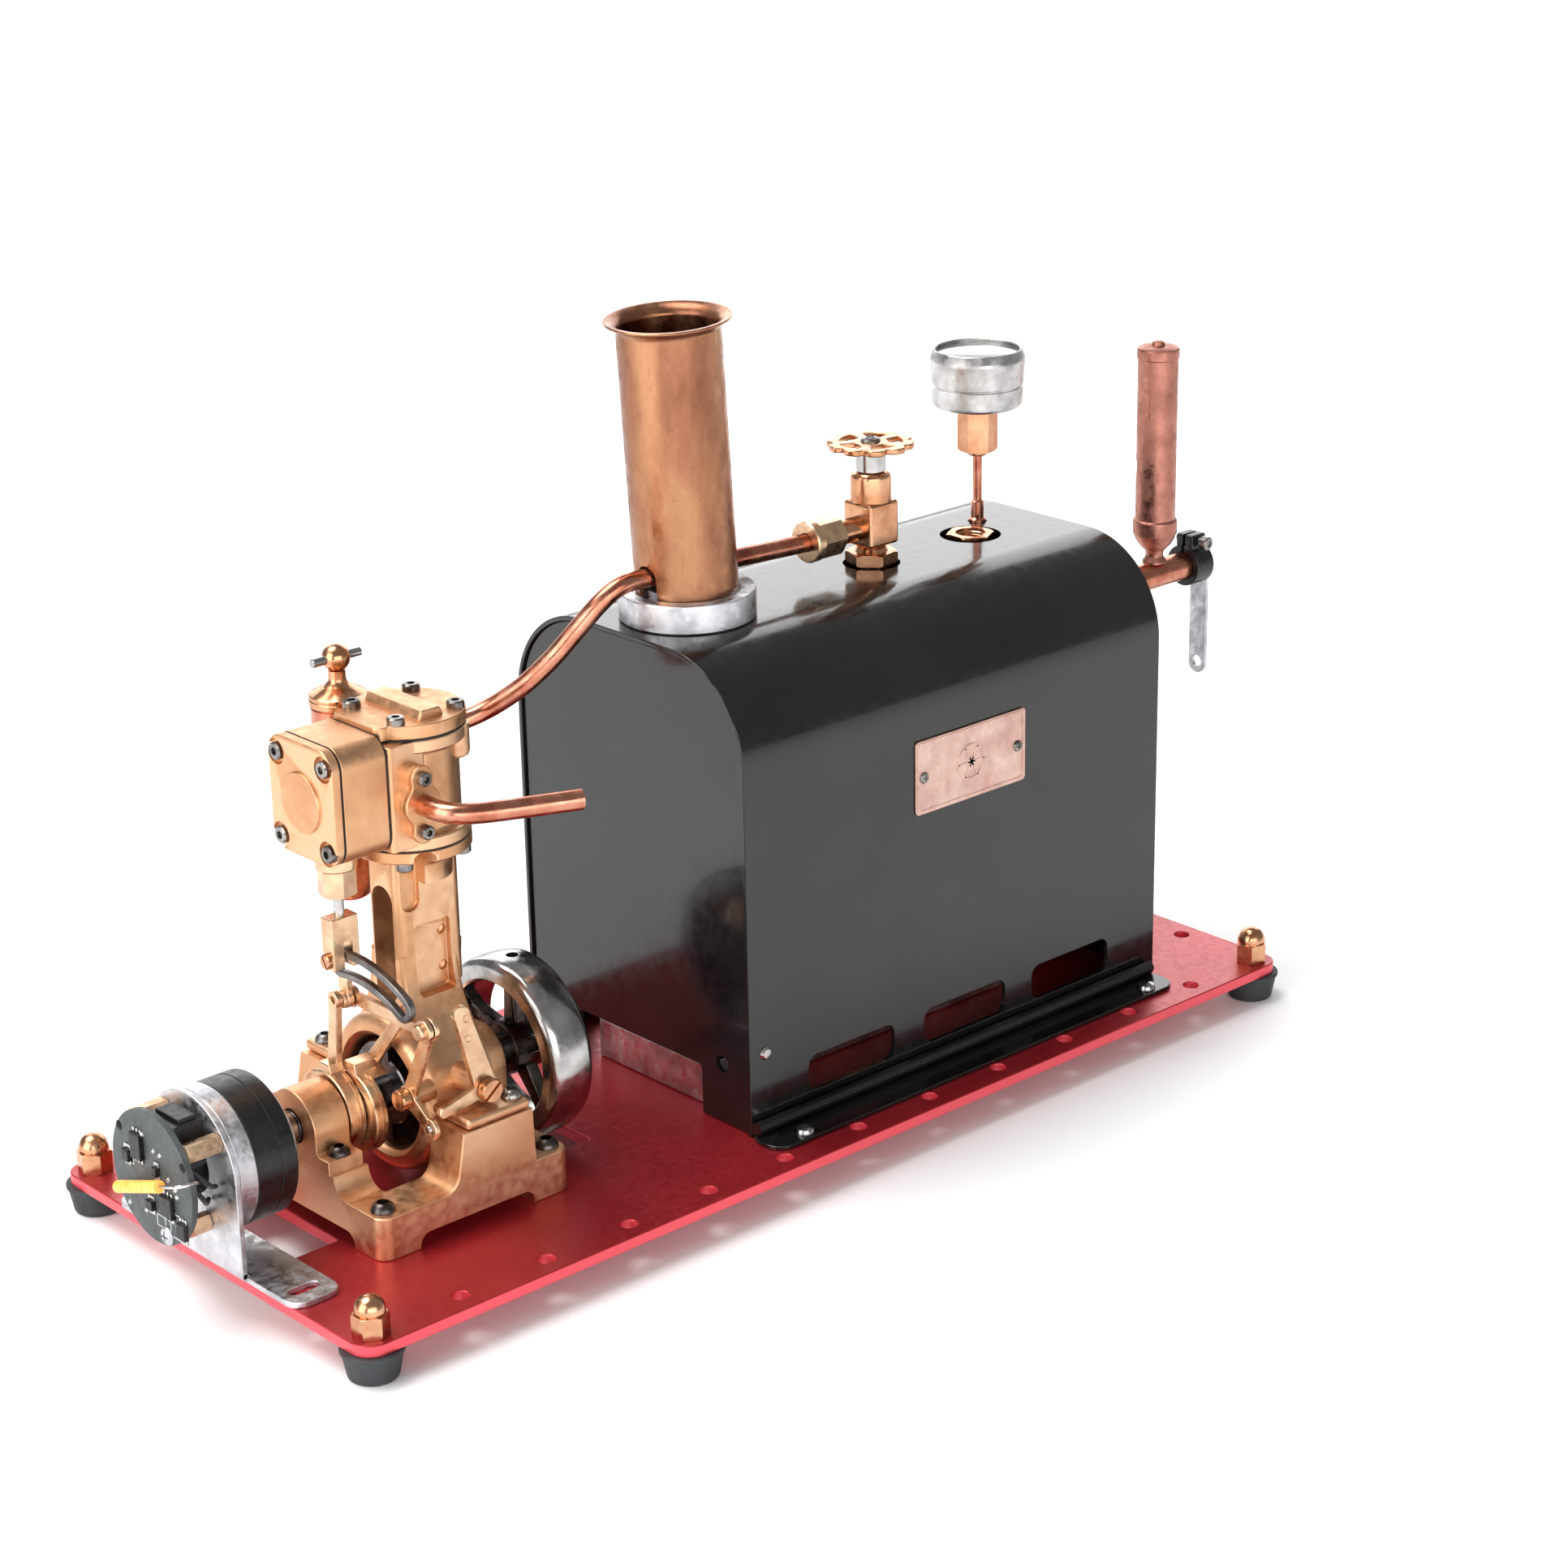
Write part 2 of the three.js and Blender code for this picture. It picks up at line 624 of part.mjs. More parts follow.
function engineColumn() {
  const at = [MID_Y, CRANK_Z];
  const drumR = 20;
  let column = lathe(
    [[0, 46], [17.6, 46], [19.3, 46.7], [drumR, 48.4], [drumR, 65.4], [18.8, 66.8], [0, 66.8]],
    "x",
    at,
    40,
  );
  // Column body, flaring down into the crank drum.
  const flare = new THREE.Shape();
  flare.moveTo(MID_Y - 14.5, 38);
  flare.quadraticCurveTo(MID_Y - 6.4, 47, MID_Y - 6.2, 60);
  flare.lineTo(MID_Y + 6.2, 60);
  flare.quadraticCurveTo(MID_Y + 6.4, 47, MID_Y + 14.5, 38);
  column = column
    .add(prism(roundRect(50, 69, MID_Y - 6.2, MID_Y + 6.2, 2.5), "z", 50, 86, 4))
    .add(prism(flare, "x", 50, 66.8, 8))
    .add(prism(new THREE.Shape([
      new THREE.Vector2(64, 40),
      new THREE.Vector2(66.8, 40),
      new THREE.Vector2(69, 58),
      new THREE.Vector2(69, 60),
      new THREE.Vector2(64, 60),
    ]), "y", MID_Y - 4, MID_Y + 4))
    .add(lathe([[0, 78], [9.5, 78], [12.5, 84], [14.4, 85], [14.4, COLUMN_TOP], [0, COLUMN_TOP]],
      "z", [ENGINE_X, MID_Y], 36))
    .add(box(47.5, 66, 24, MID_Y - 15, 25, 27.6))
    .add(box(47.5, 66, MID_Y + 15, 90, 25, 27.6));
  column = column
    .subtract(cylinder("x", at, 14.4, 40, 65.2, 36))
    .subtract(cylinder("x", at, 4.3, 60, 70, 20))
    .subtract(cylinder("z", [ENGINE_X, MID_Y], GUIDE_R, 30, 82, 24))
    .subtract(cylinder("z", [ENGINE_X, MID_Y], 1.8, 80, 90, 12));
  // Room for the swing of the connecting rod, where the guide opens into the drum.
  const swing = new THREE.Shape([
    new THREE.Vector2(MID_Y - 8.5, 34),
    new THREE.Vector2(MID_Y + 8.5, 34),
    new THREE.Vector2(MID_Y + 3.5, 54),
    new THREE.Vector2(MID_Y - 3.5, 54),
  ]);
  column = column.subtract(prism(swing, "x", 57.2, 61.8));
  // Arched window on the left, recesses on the front.
  column = column
    .subtract(prism(roundRect(MID_Y - 4, MID_Y + 4, 47, 76.8, 3.9), "x", 45, ENGINE_X, 8))
    .subtract(prism(roundRect(54.4, 64.6, 49, 67, 1), "y", 45, MID_Y - 4.7, 3))
    .subtract(prism(roundRect(50.6, 56, 71, 84, 2.4), "y", 45, MID_Y - 5, 5));
  // Pivots of the bell crank and of the reversing lever.
  column = column
    .add(cylinder("x", BELL_PIVOT, BELL_PIN_R, 39, 47, 16))
    .add(cylinder("x", BELL_PIVOT, 2.6, 42.6, 47, 18))
    .add(cylinder("x", BELL_PIVOT, 2.65, 38.2, 40.8, 20))
    .add(cylinder("y", LEVER_PIVOT, LEVER_PIN_R, 27, 41, 16))
    .add(cylinder("y", LEVER_PIVOT, 3, 30.6, 41, 20))
    .add(cylinder("y", LEVER_PIVOT, 2.95, 26.2, 28.4, 20));
  add("engine_column", column, BRONZE);
}

// ---- Cylinder, steam chest and their fittings ----
const CYL = [ENGINE_X, MID_Y];
const CYL_TOP = 115.7;
const BORE_R = 9.5;
const VALVE_ROD = [37.7, MID_Y];
// Exhaust at the front and oil inlet at the back, and the distance of a flange's ears.
const PORT = [52, 101];
const EAR_Z = 6.55;

const COVER_SCREW = 8.6;
const CHEST_X = 45;

function cylinderGroup() {
  const bandR = 14.4;
  const chestHalf = 12.5;
  const padFace = 14.4;
  let block = cylinder("z", CYL, 12.3, COLUMN_TOP, CYL_TOP, 40)
    .add(cylinder("z", CYL, bandR, COLUMN_TOP, COLUMN_TOP + 3.4, 40))
    .add(cylinder("z", CYL, bandR, CYL_TOP - 3.5, CYL_TOP, 40))
    .add(box(CHEST_X, 56, MID_Y - chestHalf, MID_Y + chestHalf, 89.5, CYL_TOP))
    .add(cylinder("x", [MID_Y, 102], 3, ENGINE_X + 10, ENGINE_X + 13.4, 18));
  for (const sx of [-1, 1]) {
    for (const sy of [-1, 1]) {
      const spot = [ENGINE_X + sx * COVER_SCREW, MID_Y + sy * COVER_SCREW];
      block = block.add(cylinder("z", spot, 2.9, CYL_TOP - 8.7, CYL_TOP, 16));
    }
  }
  block = block
    .add(pipeFlange(...PORT, MID_Y - padFace, MID_Y - chestHalf + 0.2))
    .add(pipeFlange(...PORT, MID_Y + chestHalf - 0.2, MID_Y + padFace))
    .subtract(cylinder("z", CYL, BORE_R, 91, CYL_TOP + 1, 28))
    .subtract(cylinder("z", CYL, 1.8, 80, 95, 12))
    .subtract(box(CHEST_X - 1, 52, MID_Y - 4, MID_Y + 4, 92.6, 94.4))
    .subtract(box(CHEST_X - 1, 52, MID_Y - 4, MID_Y + 4, 111.6, 113.4));
  add("cylinder_block", block, BRONZE);

  const coverTop = CYL_TOP + 3.5;
  const boss = new THREE.Shape([
    new THREE.Vector2(ENGINE_X - 4, coverTop - 1),
    new THREE.Vector2(ENGINE_X + 4, coverTop - 1),
    new THREE.Vector2(ENGINE_X + 2.6, coverTop + 2.1),
    new THREE.Vector2(ENGINE_X - 2.6, coverTop + 2.1),
  ]);
  const cover = cylinder("z", CYL, bandR, CYL_TOP, coverTop, 40)
    .add(box(CHEST_X, 54, MID_Y - 9, MID_Y + 9, CYL_TOP, coverTop))
    .add(prism(boss, "y", MID_Y - 10.7, MID_Y + 10.7));
  add("cylinder_cover", cover, BRONZE);

  const outline = roundRect(MID_Y - chestHalf, MID_Y + chestHalf, 89.5, 118, 5);
  const chest = prism(outline, "x", 32.2, CHEST_X, 6)
    .subtract(box(31, CHEST_X + 1, MID_Y - 8.6, MID_Y + 8.6, 94, 113.5))
    .subtract(cylinder("z", VALVE_ROD, 1.4, 85, 100, 12));
  add("steam_chest", chest, BRONZE);
  const cover2 = prism(outline, "x", 29.4, 32.2, 6).add(
    cylinder("x", [MID_Y, 103.7], 7, 28.8, 30, 28),
  );
  add("steam_chest_cover", cover2, BRONZE);
  const gland = hexagon("z", VALVE_ROD, 4.6, 78.5, 85.2, 0.25)
    .add(cylinder("z", VALVE_ROD, 5, 85.2, 89.5, 22))
    .subtract(cylinder("z", VALVE_ROD, 1.4, 70, 95, 12));
  add("valve_gland_nut", gland, BRONZE);
}

// Flange with two round ears about a round middle, lying square to Y.
function pipeFlange(x, z, y0, y1) {
  return cylinder("y", [x, z], 5, y0, y1, 24)
    .add(cylinder("y", [x, z - EAR_Z], 3, y0, y1, 18))
    .add(cylinder("y", [x, z + EAR_Z], 3, y0, y1, 18));
}

function exhaust() {
  const face = MID_Y - 14.4;
  add("exhaust_flange", pipeFlange(...PORT, face - 1.8, face), BRASS);
  const pipe = tube(
    [
      [PORT[0], face - 1.8, PORT[1]],
      [PORT[0], 38.6, PORT[1]],
      [52.1, 36, PORT[1]],
      [53, 32.6, 100.9],
      [55.8, 30, 100.7],
      [60, 28.2, 100.4],
      [66, 26, 100.2],
      [74, 23, 100.1],
      [82, 20, 100],
    ],
    2.5,
    20,
    10,
  );
  const hollow = tube([[64, 26.73, 100.2], [74, 23, 100.1], [83, 19.63, 100]], 1.8, 3, 8);
  add("exhaust_pipe", pipe.subtract(hollow), COPPER);
}

function lubricator() {
  const [x, y] = OILER;
  const face = MID_Y + 14.4;
  const body = lathe(
    [[0, 66], [3, 66.4], [5.4, 68], [6.6, 70.6], [6.8, 73], [6.8, 115.4], [0, 115.4]],
    "z",
    OILER,
    28,
  )
    .add(pipeFlange(...PORT, face, face + 1.8))
    .add(cylinder("y", PORT, 3, face + 0.5, y, 16))
    .subtract(cylinder("z", OILER, 5.7, 75, 120, 26));
  add("lubricator_body", body, BRONZE);
  const cap = lathe(
    [
      [0, 109],
      [5, 109],
      [5, 115.5],
      [7.1, 115.5],
      [7.1, 118.4],
      [3.6, 120.2],
      [2.8, 120.8],
      [2.1, 122.2],
      [2.1, 124.2],
      [0, 124.2],
    ],
    "z",
    OILER,
    26,
  )
    .add(lathe([[0, 123.6], [1.9, 124], [3.3, 126.2], [3.45, 127.1], [2.6, 129.4], [0, 130.6]],
      "z", OILER, 20))
    .add(cylinder("x", [y, 127.1], 1.1, x - 7, x + 7, 12));
  add("lubricator_cap", cap, BRONZE);
}

// ---- Moving parts of the engine ----
const ECCENTRIC_AHEAD = [MID_Y + 1.9, CRANK_Z - 0.6];
const ECCENTRIC_ASTERN = [MID_Y - 1.9, CRANK_Z - 0.6];
const ECCENTRIC_R = 8;
const ECCENTRIC_SIDES = 44;
const STRAP_R = 10.5;

// The crank rests with its pin to the front, so the piston stands near the middle of its stroke.
const CRANK_PIN = [MID_Y - CRANK_R, CRANK_Z];
const CROSSHEAD_Z = CRANK_Z + Math.sqrt(ROD_L ** 2 - CRANK_R ** 2);
const WRIST_R = 1.4;

function pistonAndRod() {
  const pin = CROSSHEAD_Z;
  const crown = pin + 55.7;
  const piston = cylinder("z", CYL, BORE_R - 0.2, crown - 6.5, crown, 26)
    .add(cylinder("z", CYL, 1.5, pin + 2, crown - 5, 12))
    .add(cylinder("z", CYL, GUIDE_R - 0.2, pin - 4, pin + 4.5, 22))
    .subtract(box(57.6, 61.4, 40, 70, pin - 5, pin + 2.6))
    .add(cylinder("x", [MID_Y, pin], WRIST_R, 56, 63, 16));
  add("piston_and_crosshead", piston, STEEL);
  const rod = bar(57.9, 61.1, [MID_Y, pin], CRANK_PIN, 1.3, 1.7, 2.4, 3.8)
    .subtract(bore("x", [MID_Y, pin], WRIST_R + 0.1, 50, 70, 16))
    .subtract(cylinder("x", CRANK_PIN, 2.2, 50, 70, 16));
  add("connecting_rod", rod, BRONZE);
}

function crankshaft() {
  const at = [MID_Y, CRANK_Z];
  // Round web with a counterweight on the side away from the crank pin.
  const web = (x0, x1) =>
    cylinder("x", at, 8.4, x0, x1, 30).add(
      cylinder("x", at, 12.9, x0, x1, 36).intersect(
        box(x0 - 1, x1 + 1, MID_Y - 1.3, MID_Y + 20, CRANK_Z - 20, CRANK_Z + 20),
      ),
    );
  const left = cylinder("x", at, 4, 20, 54, 24)
    .add(cylinder("x", ECCENTRIC_AHEAD, ECCENTRIC_R, 31.6, 35.7, ECCENTRIC_SIDES))
    .add(cylinder("x", ECCENTRIC_ASTERN, ECCENTRIC_R, 36.2, 39.4, ECCENTRIC_SIDES))
    .add(web(48, 57.2))
    .add(cylinder("x", CRANK_PIN, 2, 57, 57.7, 16));
  add("crankshaft_left", left, DARK_STEEL);
  const right = web(61.8, 64.7)
    .add(cylinder("x", CRANK_PIN, 2, 61.3, 62, 16))
    .add(cylinder("x", at, 4, 64, 94.6, 24));
  add("crankshaft_right", right, DARK_STEEL);

  const mid = 87.65;
  const half = 6.35;
  let wheel = lathe(
    [
      [0, mid - half],
      [21.8, mid - half],
      [23.3, mid - half + 1.8],
      [23.9, mid],
      [23.3, mid + half - 1.8],
      [21.8, mid + half],
      [0, mid + half],
    ],
    "x",
    at,
    56,
  ).subtract(cylinder("x", at, 17.9, mid - half - 1, mid + half + 1, 40));
  const spokes = 5;
  for (let i = 0; i < spokes; i++) {
    const a = (TAU * i) / spokes + 0.3;
    const tip = [MID_Y + 18.6 * Math.cos(a), CRANK_Z + 18.6 * Math.sin(a)];
    wheel = wheel.add(bar(mid - 2, mid + 2, at, tip, 2.4, 1.9, 2.4, 1.9));
  }
  wheel = wheel
    .add(cylinder("x", at, 6.8, mid - 5, mid + 5, 28))
    .subtract(cylinder("x", at, 4.02, mid - half, mid + half, 24))
    .subtract(cylinder("z", [mid, MID_Y], 1.6, CRANK_Z + 15, CRANK_Z + 30, 14));
  add("flywheel", wheel, STEEL);
  add("shaft_coupling", cylinder("x", at, 4.2, 12.6, 20, 20), DARK_STEEL);
}

function strap(x0, x1, centre, joggleTo, rodX0, rodX1, tip) {
  const neck = [centre[0], centre[1] + STRAP_R - 0.4];
  return cylinder("x", centre, STRAP_R, x0, x1, 32)
    .add(bar(Math.min(x0, rodX0), Math.max(x1, joggleTo), [neck[0], neck[1] - 0.6],
      [neck[0], neck[1] + 1.6], 2.2, 2.2, 1.2, 1.2))
    .add(bar(rodX0, rodX1, [neck[0], neck[1] + 1], tip, 1.9, 1.7, 1.9, 2.1))
    .subtract(bore("x", centre, ECCENTRIC_R, x0 - 1, x1 + 1, ECCENTRIC_SIDES));
}

function valveGear() {
  add(
    "strap_rod_ahead",
    strap(31.4, 35.9, ECCENTRIC_AHEAD, 35.9, 34.1, 35.9, [MID_Y, 52.4]),
    BRONZE,
  );
  add(
    "strap_rod_astern",
    strap(36.1, 39.6, ECCENTRIC_ASTERN, 44.2, 42.7, 44.2, [41, 51.2]),
    BRONZE,
  );

  // Curved, slotted expansion link: a sector of a ring about a point near the crankshaft.
  const [cy, cz] = [52, 24];
  const meanR = 37;
  const half = 3.5;
  const slotHalf = 1.75;
  const start = Math.PI / 2 + Math.asin(18 / meanR);
  const end = Math.PI / 2 - Math.asin(6 / meanR);
  const sector = (h) => {
    const shape = new THREE.Shape();
    const at = (r, a) => [cy + r * Math.cos(a), cz + r * Math.sin(a)];
    shape.absarc(cy, cz, meanR + h, end, start, false);
    shape.absarc(...at(meanR, start), h, start, start + Math.PI, false);
    shape.absarc(cy, cz, meanR - h, start, end, true);
    shape.absarc(...at(meanR, end), h, end + Math.PI, end + TAU, false);
    return shape;
  };
  const link = prism(sector(half), "x", 37.2, 39.1, 6)
    .subtract(prism(sector(slotHalf), "x", 36, 41, 6))
    .add(bar(37.2, 39.1, [MID_Y, 57.6], [MID_Y, 51.8], 2, 2, 1, 2.3));
  add("expansion_link", link, STEEL);

  // Drag link, between the expansion link and the upper eye of the bell crank.
  const far = [29, 51.6];
  const drag = bar(39.25, 40.7, [MID_Y, 51.8], far, 2, 2, 2.6, 2.9)
    .add(cylinder("x", far, 1.5, 37.6, 40.9, 14))
    .add(cylinder("x", far, 2, 37.6, 39.4, 18));
  add("drag_link", drag, BRASS);

  const lowerEye = [30.6, 25.5];
  const crank = bar(41, 42.4, BELL_PIVOT, far, 2.3, 1.8, 3.1, 2.9)
    .add(bar(41, 42.4, BELL_PIVOT, lowerEye, 2.3, 1.8, 3.1, 2.6))
    .subtract(bore("x", BELL_PIVOT, BELL_PIN_R, 38, 46, 16))
    .subtract(cylinder("x", lowerEye, 1.2, 38, 46, 12));
  add("bell_crank", crank, BRASS);

  const [rodX, rodY] = VALVE_ROD;
  const rod = box(33.8, 41.4, rodY - 2.2, rodY + 2.2, 60.2, 73.2)
    .subtract(box(36.9, 39.4, rodY - 4, rodY + 4, 58, 67))
    .add(cylinder("z", VALVE_ROD, 1.25, 72, 109, 12))
    .add(box(rodX - 1, CHEST_X - 0.2, rodY - 6, rodY + 6, 98, 109))
    .add(cylinder("x", [rodY, 62.5], 1.9, 32.6, 34, 16));
  add("valve_rod", rod, BRONZE);
}

function reversingLever() {
  const [px, pz] = LEVER_PIVOT;
  const plate = (a, b, halfA, halfB) => {
    const length = Math.hypot(b[0] - a[0], b[1] - a[1]);
    const [nx, nz] = [-(b[1] - a[1]) / length, (b[0] - a[0]) / length];
    return prism(
      new THREE.Shape([
        new THREE.Vector2(a[0] + nx * halfA, a[1] + nz * halfA),
        new THREE.Vector2(a[0] - nx * halfA, a[1] - nz * halfA),
        new THREE.Vector2(b[0] - nx * halfB, b[1] - nz * halfB),
        new THREE.Vector2(b[0] + nx * halfB, b[1] + nz * halfB),
      ]),
      "y",
      28.6,
      30.4,
    ).add(cylinder("y", b, halfB, 28.6, 30.4, 16));
  };
  const lever = cylinder("y", LEVER_PIVOT, 3.6, 28.6, 30.4, 24)
    .subtract(box(px - 3.6, px + 3.6, 28, 31, pz - 4, pz - 3.2))
    .add(plate([px, pz], [px - 6.1, pz + 20.6], 3.1, 2.3))
    .add(plate([px, pz], [px - 12.6, pz - 2.4], 1.9, 1.4))
    .subtract(bore("y", LEVER_PIVOT, LEVER_PIN_R, 27, 32, 18));
  add("reversing_lever", lever, BRASS);
}

// ---- Generator ----
function generator() {
  const at = [MID_Y, CRANK_Z];
  const plateX = -7.6;
  const t = 1.5;
  const wall = new THREE.Shape();
  wall.moveTo(MID_Y - 18, 0);
  wall.lineTo(MID_Y + 18, 0);
  wall.lineTo(MID_Y + 18, CRANK_Z);
  wall.absarc(MID_Y, CRANK_Z, 18, 0, Math.PI);
  let bracket = prism(wall, "x", plateX, plateX + t, 12).add(
    prism(roundRect(plateX + 0.2, 7, 19.5, NUT_SPAN_Y - 19.5, 4), "z", 0, t, 5),
  );
  bracket = bracket.add(box(plateX, plateX + t, 19.5, NUT_SPAN_Y - 19.5, 0, t));
  for (const y of [25.6, NUT_SPAN_Y - 25.6]) {
    bracket = bracket.subtract(
      prism(roundRect(-4.3, 3.9, y - 1.6, y + 1.6, 1.55), "z", -1, 3, 3),
    );
  }
  bracket = bracket.subtract(cylinder("x", at, 7, -10, 0, 24));
  add("generator_bracket", bracket, ALUMINIUM);
  const ring = cylinder("x", at, 17.8, plateX + t, -1.2, 48)
    .subtract(cylinder("x", at, 7, -10, 5, 24));
  add("generator_mount_ring", ring, ALUMINIUM);
  const can = lathe(
    [[0, -1.2], [17.6, -1.2], [17.6, 9.9], [17, 10.3], [14.4, 10.3], [14.4, 12.4], [0, 12.4]],
    "x",
    at,
    48,
  );
  add("generator_can", can, BLACK);

  const face = -18.3;
  const back = -16.7;
  let board = cylinder("x", [MID_Y, 24.6], 16.4, face, back, 40)
    .subtract(cylinder("x", [69.5, 33.5], 1.2, -20, -10, 12))
    .subtract(cylinder("x", [43.6, 31.6], 1.2, -20, -10, 12))
    .add(hexagon("x", [45, 34], 2.4, back, plateX))
    .add(hexagon("x", [52, 11.6], 2.4, back, plateX))
    .add(box(back - 0.2, -8.4, 50, 62, 28, 38))
    .add(cylinder("x", [52, 11.6], 2, face - 1.6, face, 18));
  // Lamp: a thin rod held in front of the board by its lead.
  const lampX = -21.6;
  const lamp = tube([[-17.4, 41.8, 28.6], [-20, 42, 28.6], [lampX, 43, 28.3], [lampX, 48.6, 26.4]], 0.8, 6, 6)
    .add(tube([[lampX, 47.4, 26.8], [lampX, 57, 23.4], [lampX, 66.6, 20]], 1.5, 2, 8));
  board = board.add(lamp);
  add("circuit_board", board, BOARD);
}

basePlate();
cornerPieces();
casing();
boiler();
chimney();
nameplate();
steamValve();
steamPipe();
fillerAndGauge();
whistle();
engineBed();
bearings();
engineColumn();
cylinderGroup();
exhaust();
lubricator();
pistonAndRod();
crankshaft();
valveGear();
reversingLever();
generator();

// Origin on the floor, under the middle of the whole model.
const reach = new THREE.Box3().setFromObject(model);
model.position.set(-(reach.min.x + reach.max.x) / 2, -(reach.min.y + reach.max.y) / 2, -reach.min.z);

export default model;
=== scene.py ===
import json
import math
import random

import bmesh
import bpy
from mathutils import Matrix, Vector


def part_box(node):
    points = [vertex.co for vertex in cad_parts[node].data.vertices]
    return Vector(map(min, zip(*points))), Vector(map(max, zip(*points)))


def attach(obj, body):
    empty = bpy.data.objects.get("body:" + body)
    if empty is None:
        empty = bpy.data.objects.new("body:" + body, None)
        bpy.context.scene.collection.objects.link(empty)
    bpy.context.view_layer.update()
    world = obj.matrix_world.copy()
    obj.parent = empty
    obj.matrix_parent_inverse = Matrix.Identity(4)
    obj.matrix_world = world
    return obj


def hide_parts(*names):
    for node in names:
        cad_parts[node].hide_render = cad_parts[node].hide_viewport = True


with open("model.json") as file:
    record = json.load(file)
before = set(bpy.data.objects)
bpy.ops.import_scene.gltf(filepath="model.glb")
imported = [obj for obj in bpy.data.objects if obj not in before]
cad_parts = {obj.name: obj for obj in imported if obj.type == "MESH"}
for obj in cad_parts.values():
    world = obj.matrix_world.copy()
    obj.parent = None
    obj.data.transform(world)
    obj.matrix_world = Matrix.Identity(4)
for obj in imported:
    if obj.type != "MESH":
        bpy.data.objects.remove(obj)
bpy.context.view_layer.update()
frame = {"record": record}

# Model steam engine. Sizes are in millimetres in the plate's own frame: X = 0, Y = 0 is the
# front left corner nut and Z = 0 the top of the base plate. ORIGIN puts that frame in the row's.
random.seed(7)
MM = 0.001
PLATE_MARGIN = 6.0
PLATE_LOW, PLATE_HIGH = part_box("base_plate")
ORIGIN = Vector((PLATE_LOW.x + PLATE_MARGIN * MM, PLATE_LOW.y + PLATE_MARGIN * MM, PLATE_HIGH.z))
BODY_OF = {n: b for b, ns in frame["record"]["behaviour"]["bodies"].items() for n in ns}


def span(node):
    """Lowest and highest corner of a CAD node, in plate millimetres."""
    low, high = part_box(node)
    return (low - ORIGIN) / MM, (high - ORIGIN) / MM


PLATE = span("base_plate")
NUT_X = PLATE[1].x - PLATE_MARGIN
NUT_Y = PLATE[1].y - PLATE_MARGIN
MID_Y = NUT_Y / 2
PLATE_BOTTOM = PLATE[0].z
CRANK_Z = 24.3
ENGINE_X = 59.5
CRANK = (MID_Y, CRANK_Z)
TAU = math.tau

# ---------------------------------------------------------------- shapes


def turned(axis):
    """Local (u, v, w) to plate axes: sections are drawn in (Y, Z), (X, Z) or (X, Y)."""
    rows = {
        "x": ((0, 0, 1), (1, 0, 0), (0, 1, 0)),
        "y": ((1, 0, 0), (0, 0, 1), (0, 1, 0)),
        "z": ((1, 0, 0), (0, 1, 0), (0, 0, 1)),
    }[axis]
    return Matrix(rows).to_4x4()


def made(bm):
    """A loose object from a bmesh, with its faces turned outwards."""
    bmesh.ops.remove_doubles(bm, verts=bm.verts, dist=2e-4)
    bmesh.ops.recalc_face_normals(bm, faces=bm.faces)
    if bm.calc_volume(signed=True) < 0:
        bmesh.ops.reverse_faces(bm, faces=bm.faces)
    mesh = bpy.data.meshes.new("shape")
    bm.to_mesh(mesh)
    bm.free()
    obj = bpy.data.objects.new("shape", mesh)
    bpy.context.scene.collection.objects.link(obj)
    return obj


def lathe(profile, axis, centre, steps=64, ring=False):
    """A turned piece from [radius, height along the axis]; a ring's profile closes on itself."""
    bm = bmesh.new()
    rings = []
    for r, h in profile:
        if r < 1e-6:
            rings.append([bm.verts.new((0, 0, h))])
        else:
            rings.append([
                bm.verts.new((r * math.cos(TAU * i / steps), r * math.sin(TAU * i / steps), h))
                for i in range(steps)
            ])
    pairs = list(zip(rings, rings[1:]))
    if ring:
        pairs.append((rings[-1], rings[0]))
    for a, b in pairs:
        for i in range(steps):
            j = (i + 1) % steps
            corners = [a[i % len(a)], a[j % len(a)], b[j % len(b)], b[i % len(b)]]
            corners = list(dict.fromkeys(corners))
            if len(corners) > 2:
                bm.faces.new(corners)
    turn = turned(axis) @ Matrix.Translation((centre[0], centre[1], 0))
    bm.transform(turn)
    return made(bm)


def arc(centre, r, start, end, count):
    """Points on an arc, angles in degrees."""
    return [
        (
            centre[0] + r * math.cos(math.radians(start + (end - start) * i / count)),
            centre[1] + r * math.sin(math.radians(start + (end - start) * i / count)),
        )
        for i in range(count + 1)
    ]


def circle(centre, r, count=40):
    return arc(centre, r, 0, 360 * (count - 1) / count, count - 1)


def round_rect(u0, u1, v0, v1, r, count=6):
    return (
        arc((u1 - r, v0 + r), r, -90, 0, count)
        + arc((u1 - r, v1 - r), r, 0, 90, count)
        + arc((u0 + r, v1 - r), r, 90, 180, count)
        + arc((u0 + r, v0 + r), r, 180, 270, count)
    )


def bar_outline(a, b, half_a, half_b, eye_a, eye_b, count=18):
    """A straight bar that widens into a round eye at each end."""
    ux, uv = b[0] - a[0], b[1] - a[1]
    heading = math.degrees(math.atan2(uv, ux))
    open_a = math.degrees(math.asin(min(0.99, half_a / eye_a)))
    open_b = math.degrees(math.asin(min(0.99, half_b / eye_b)))
    return arc(a, eye_a, heading + open_a, heading + 360 - open_a, count) + arc(
        b, eye_b, heading - 180 + open_b, heading + 180 - open_b, count
    )


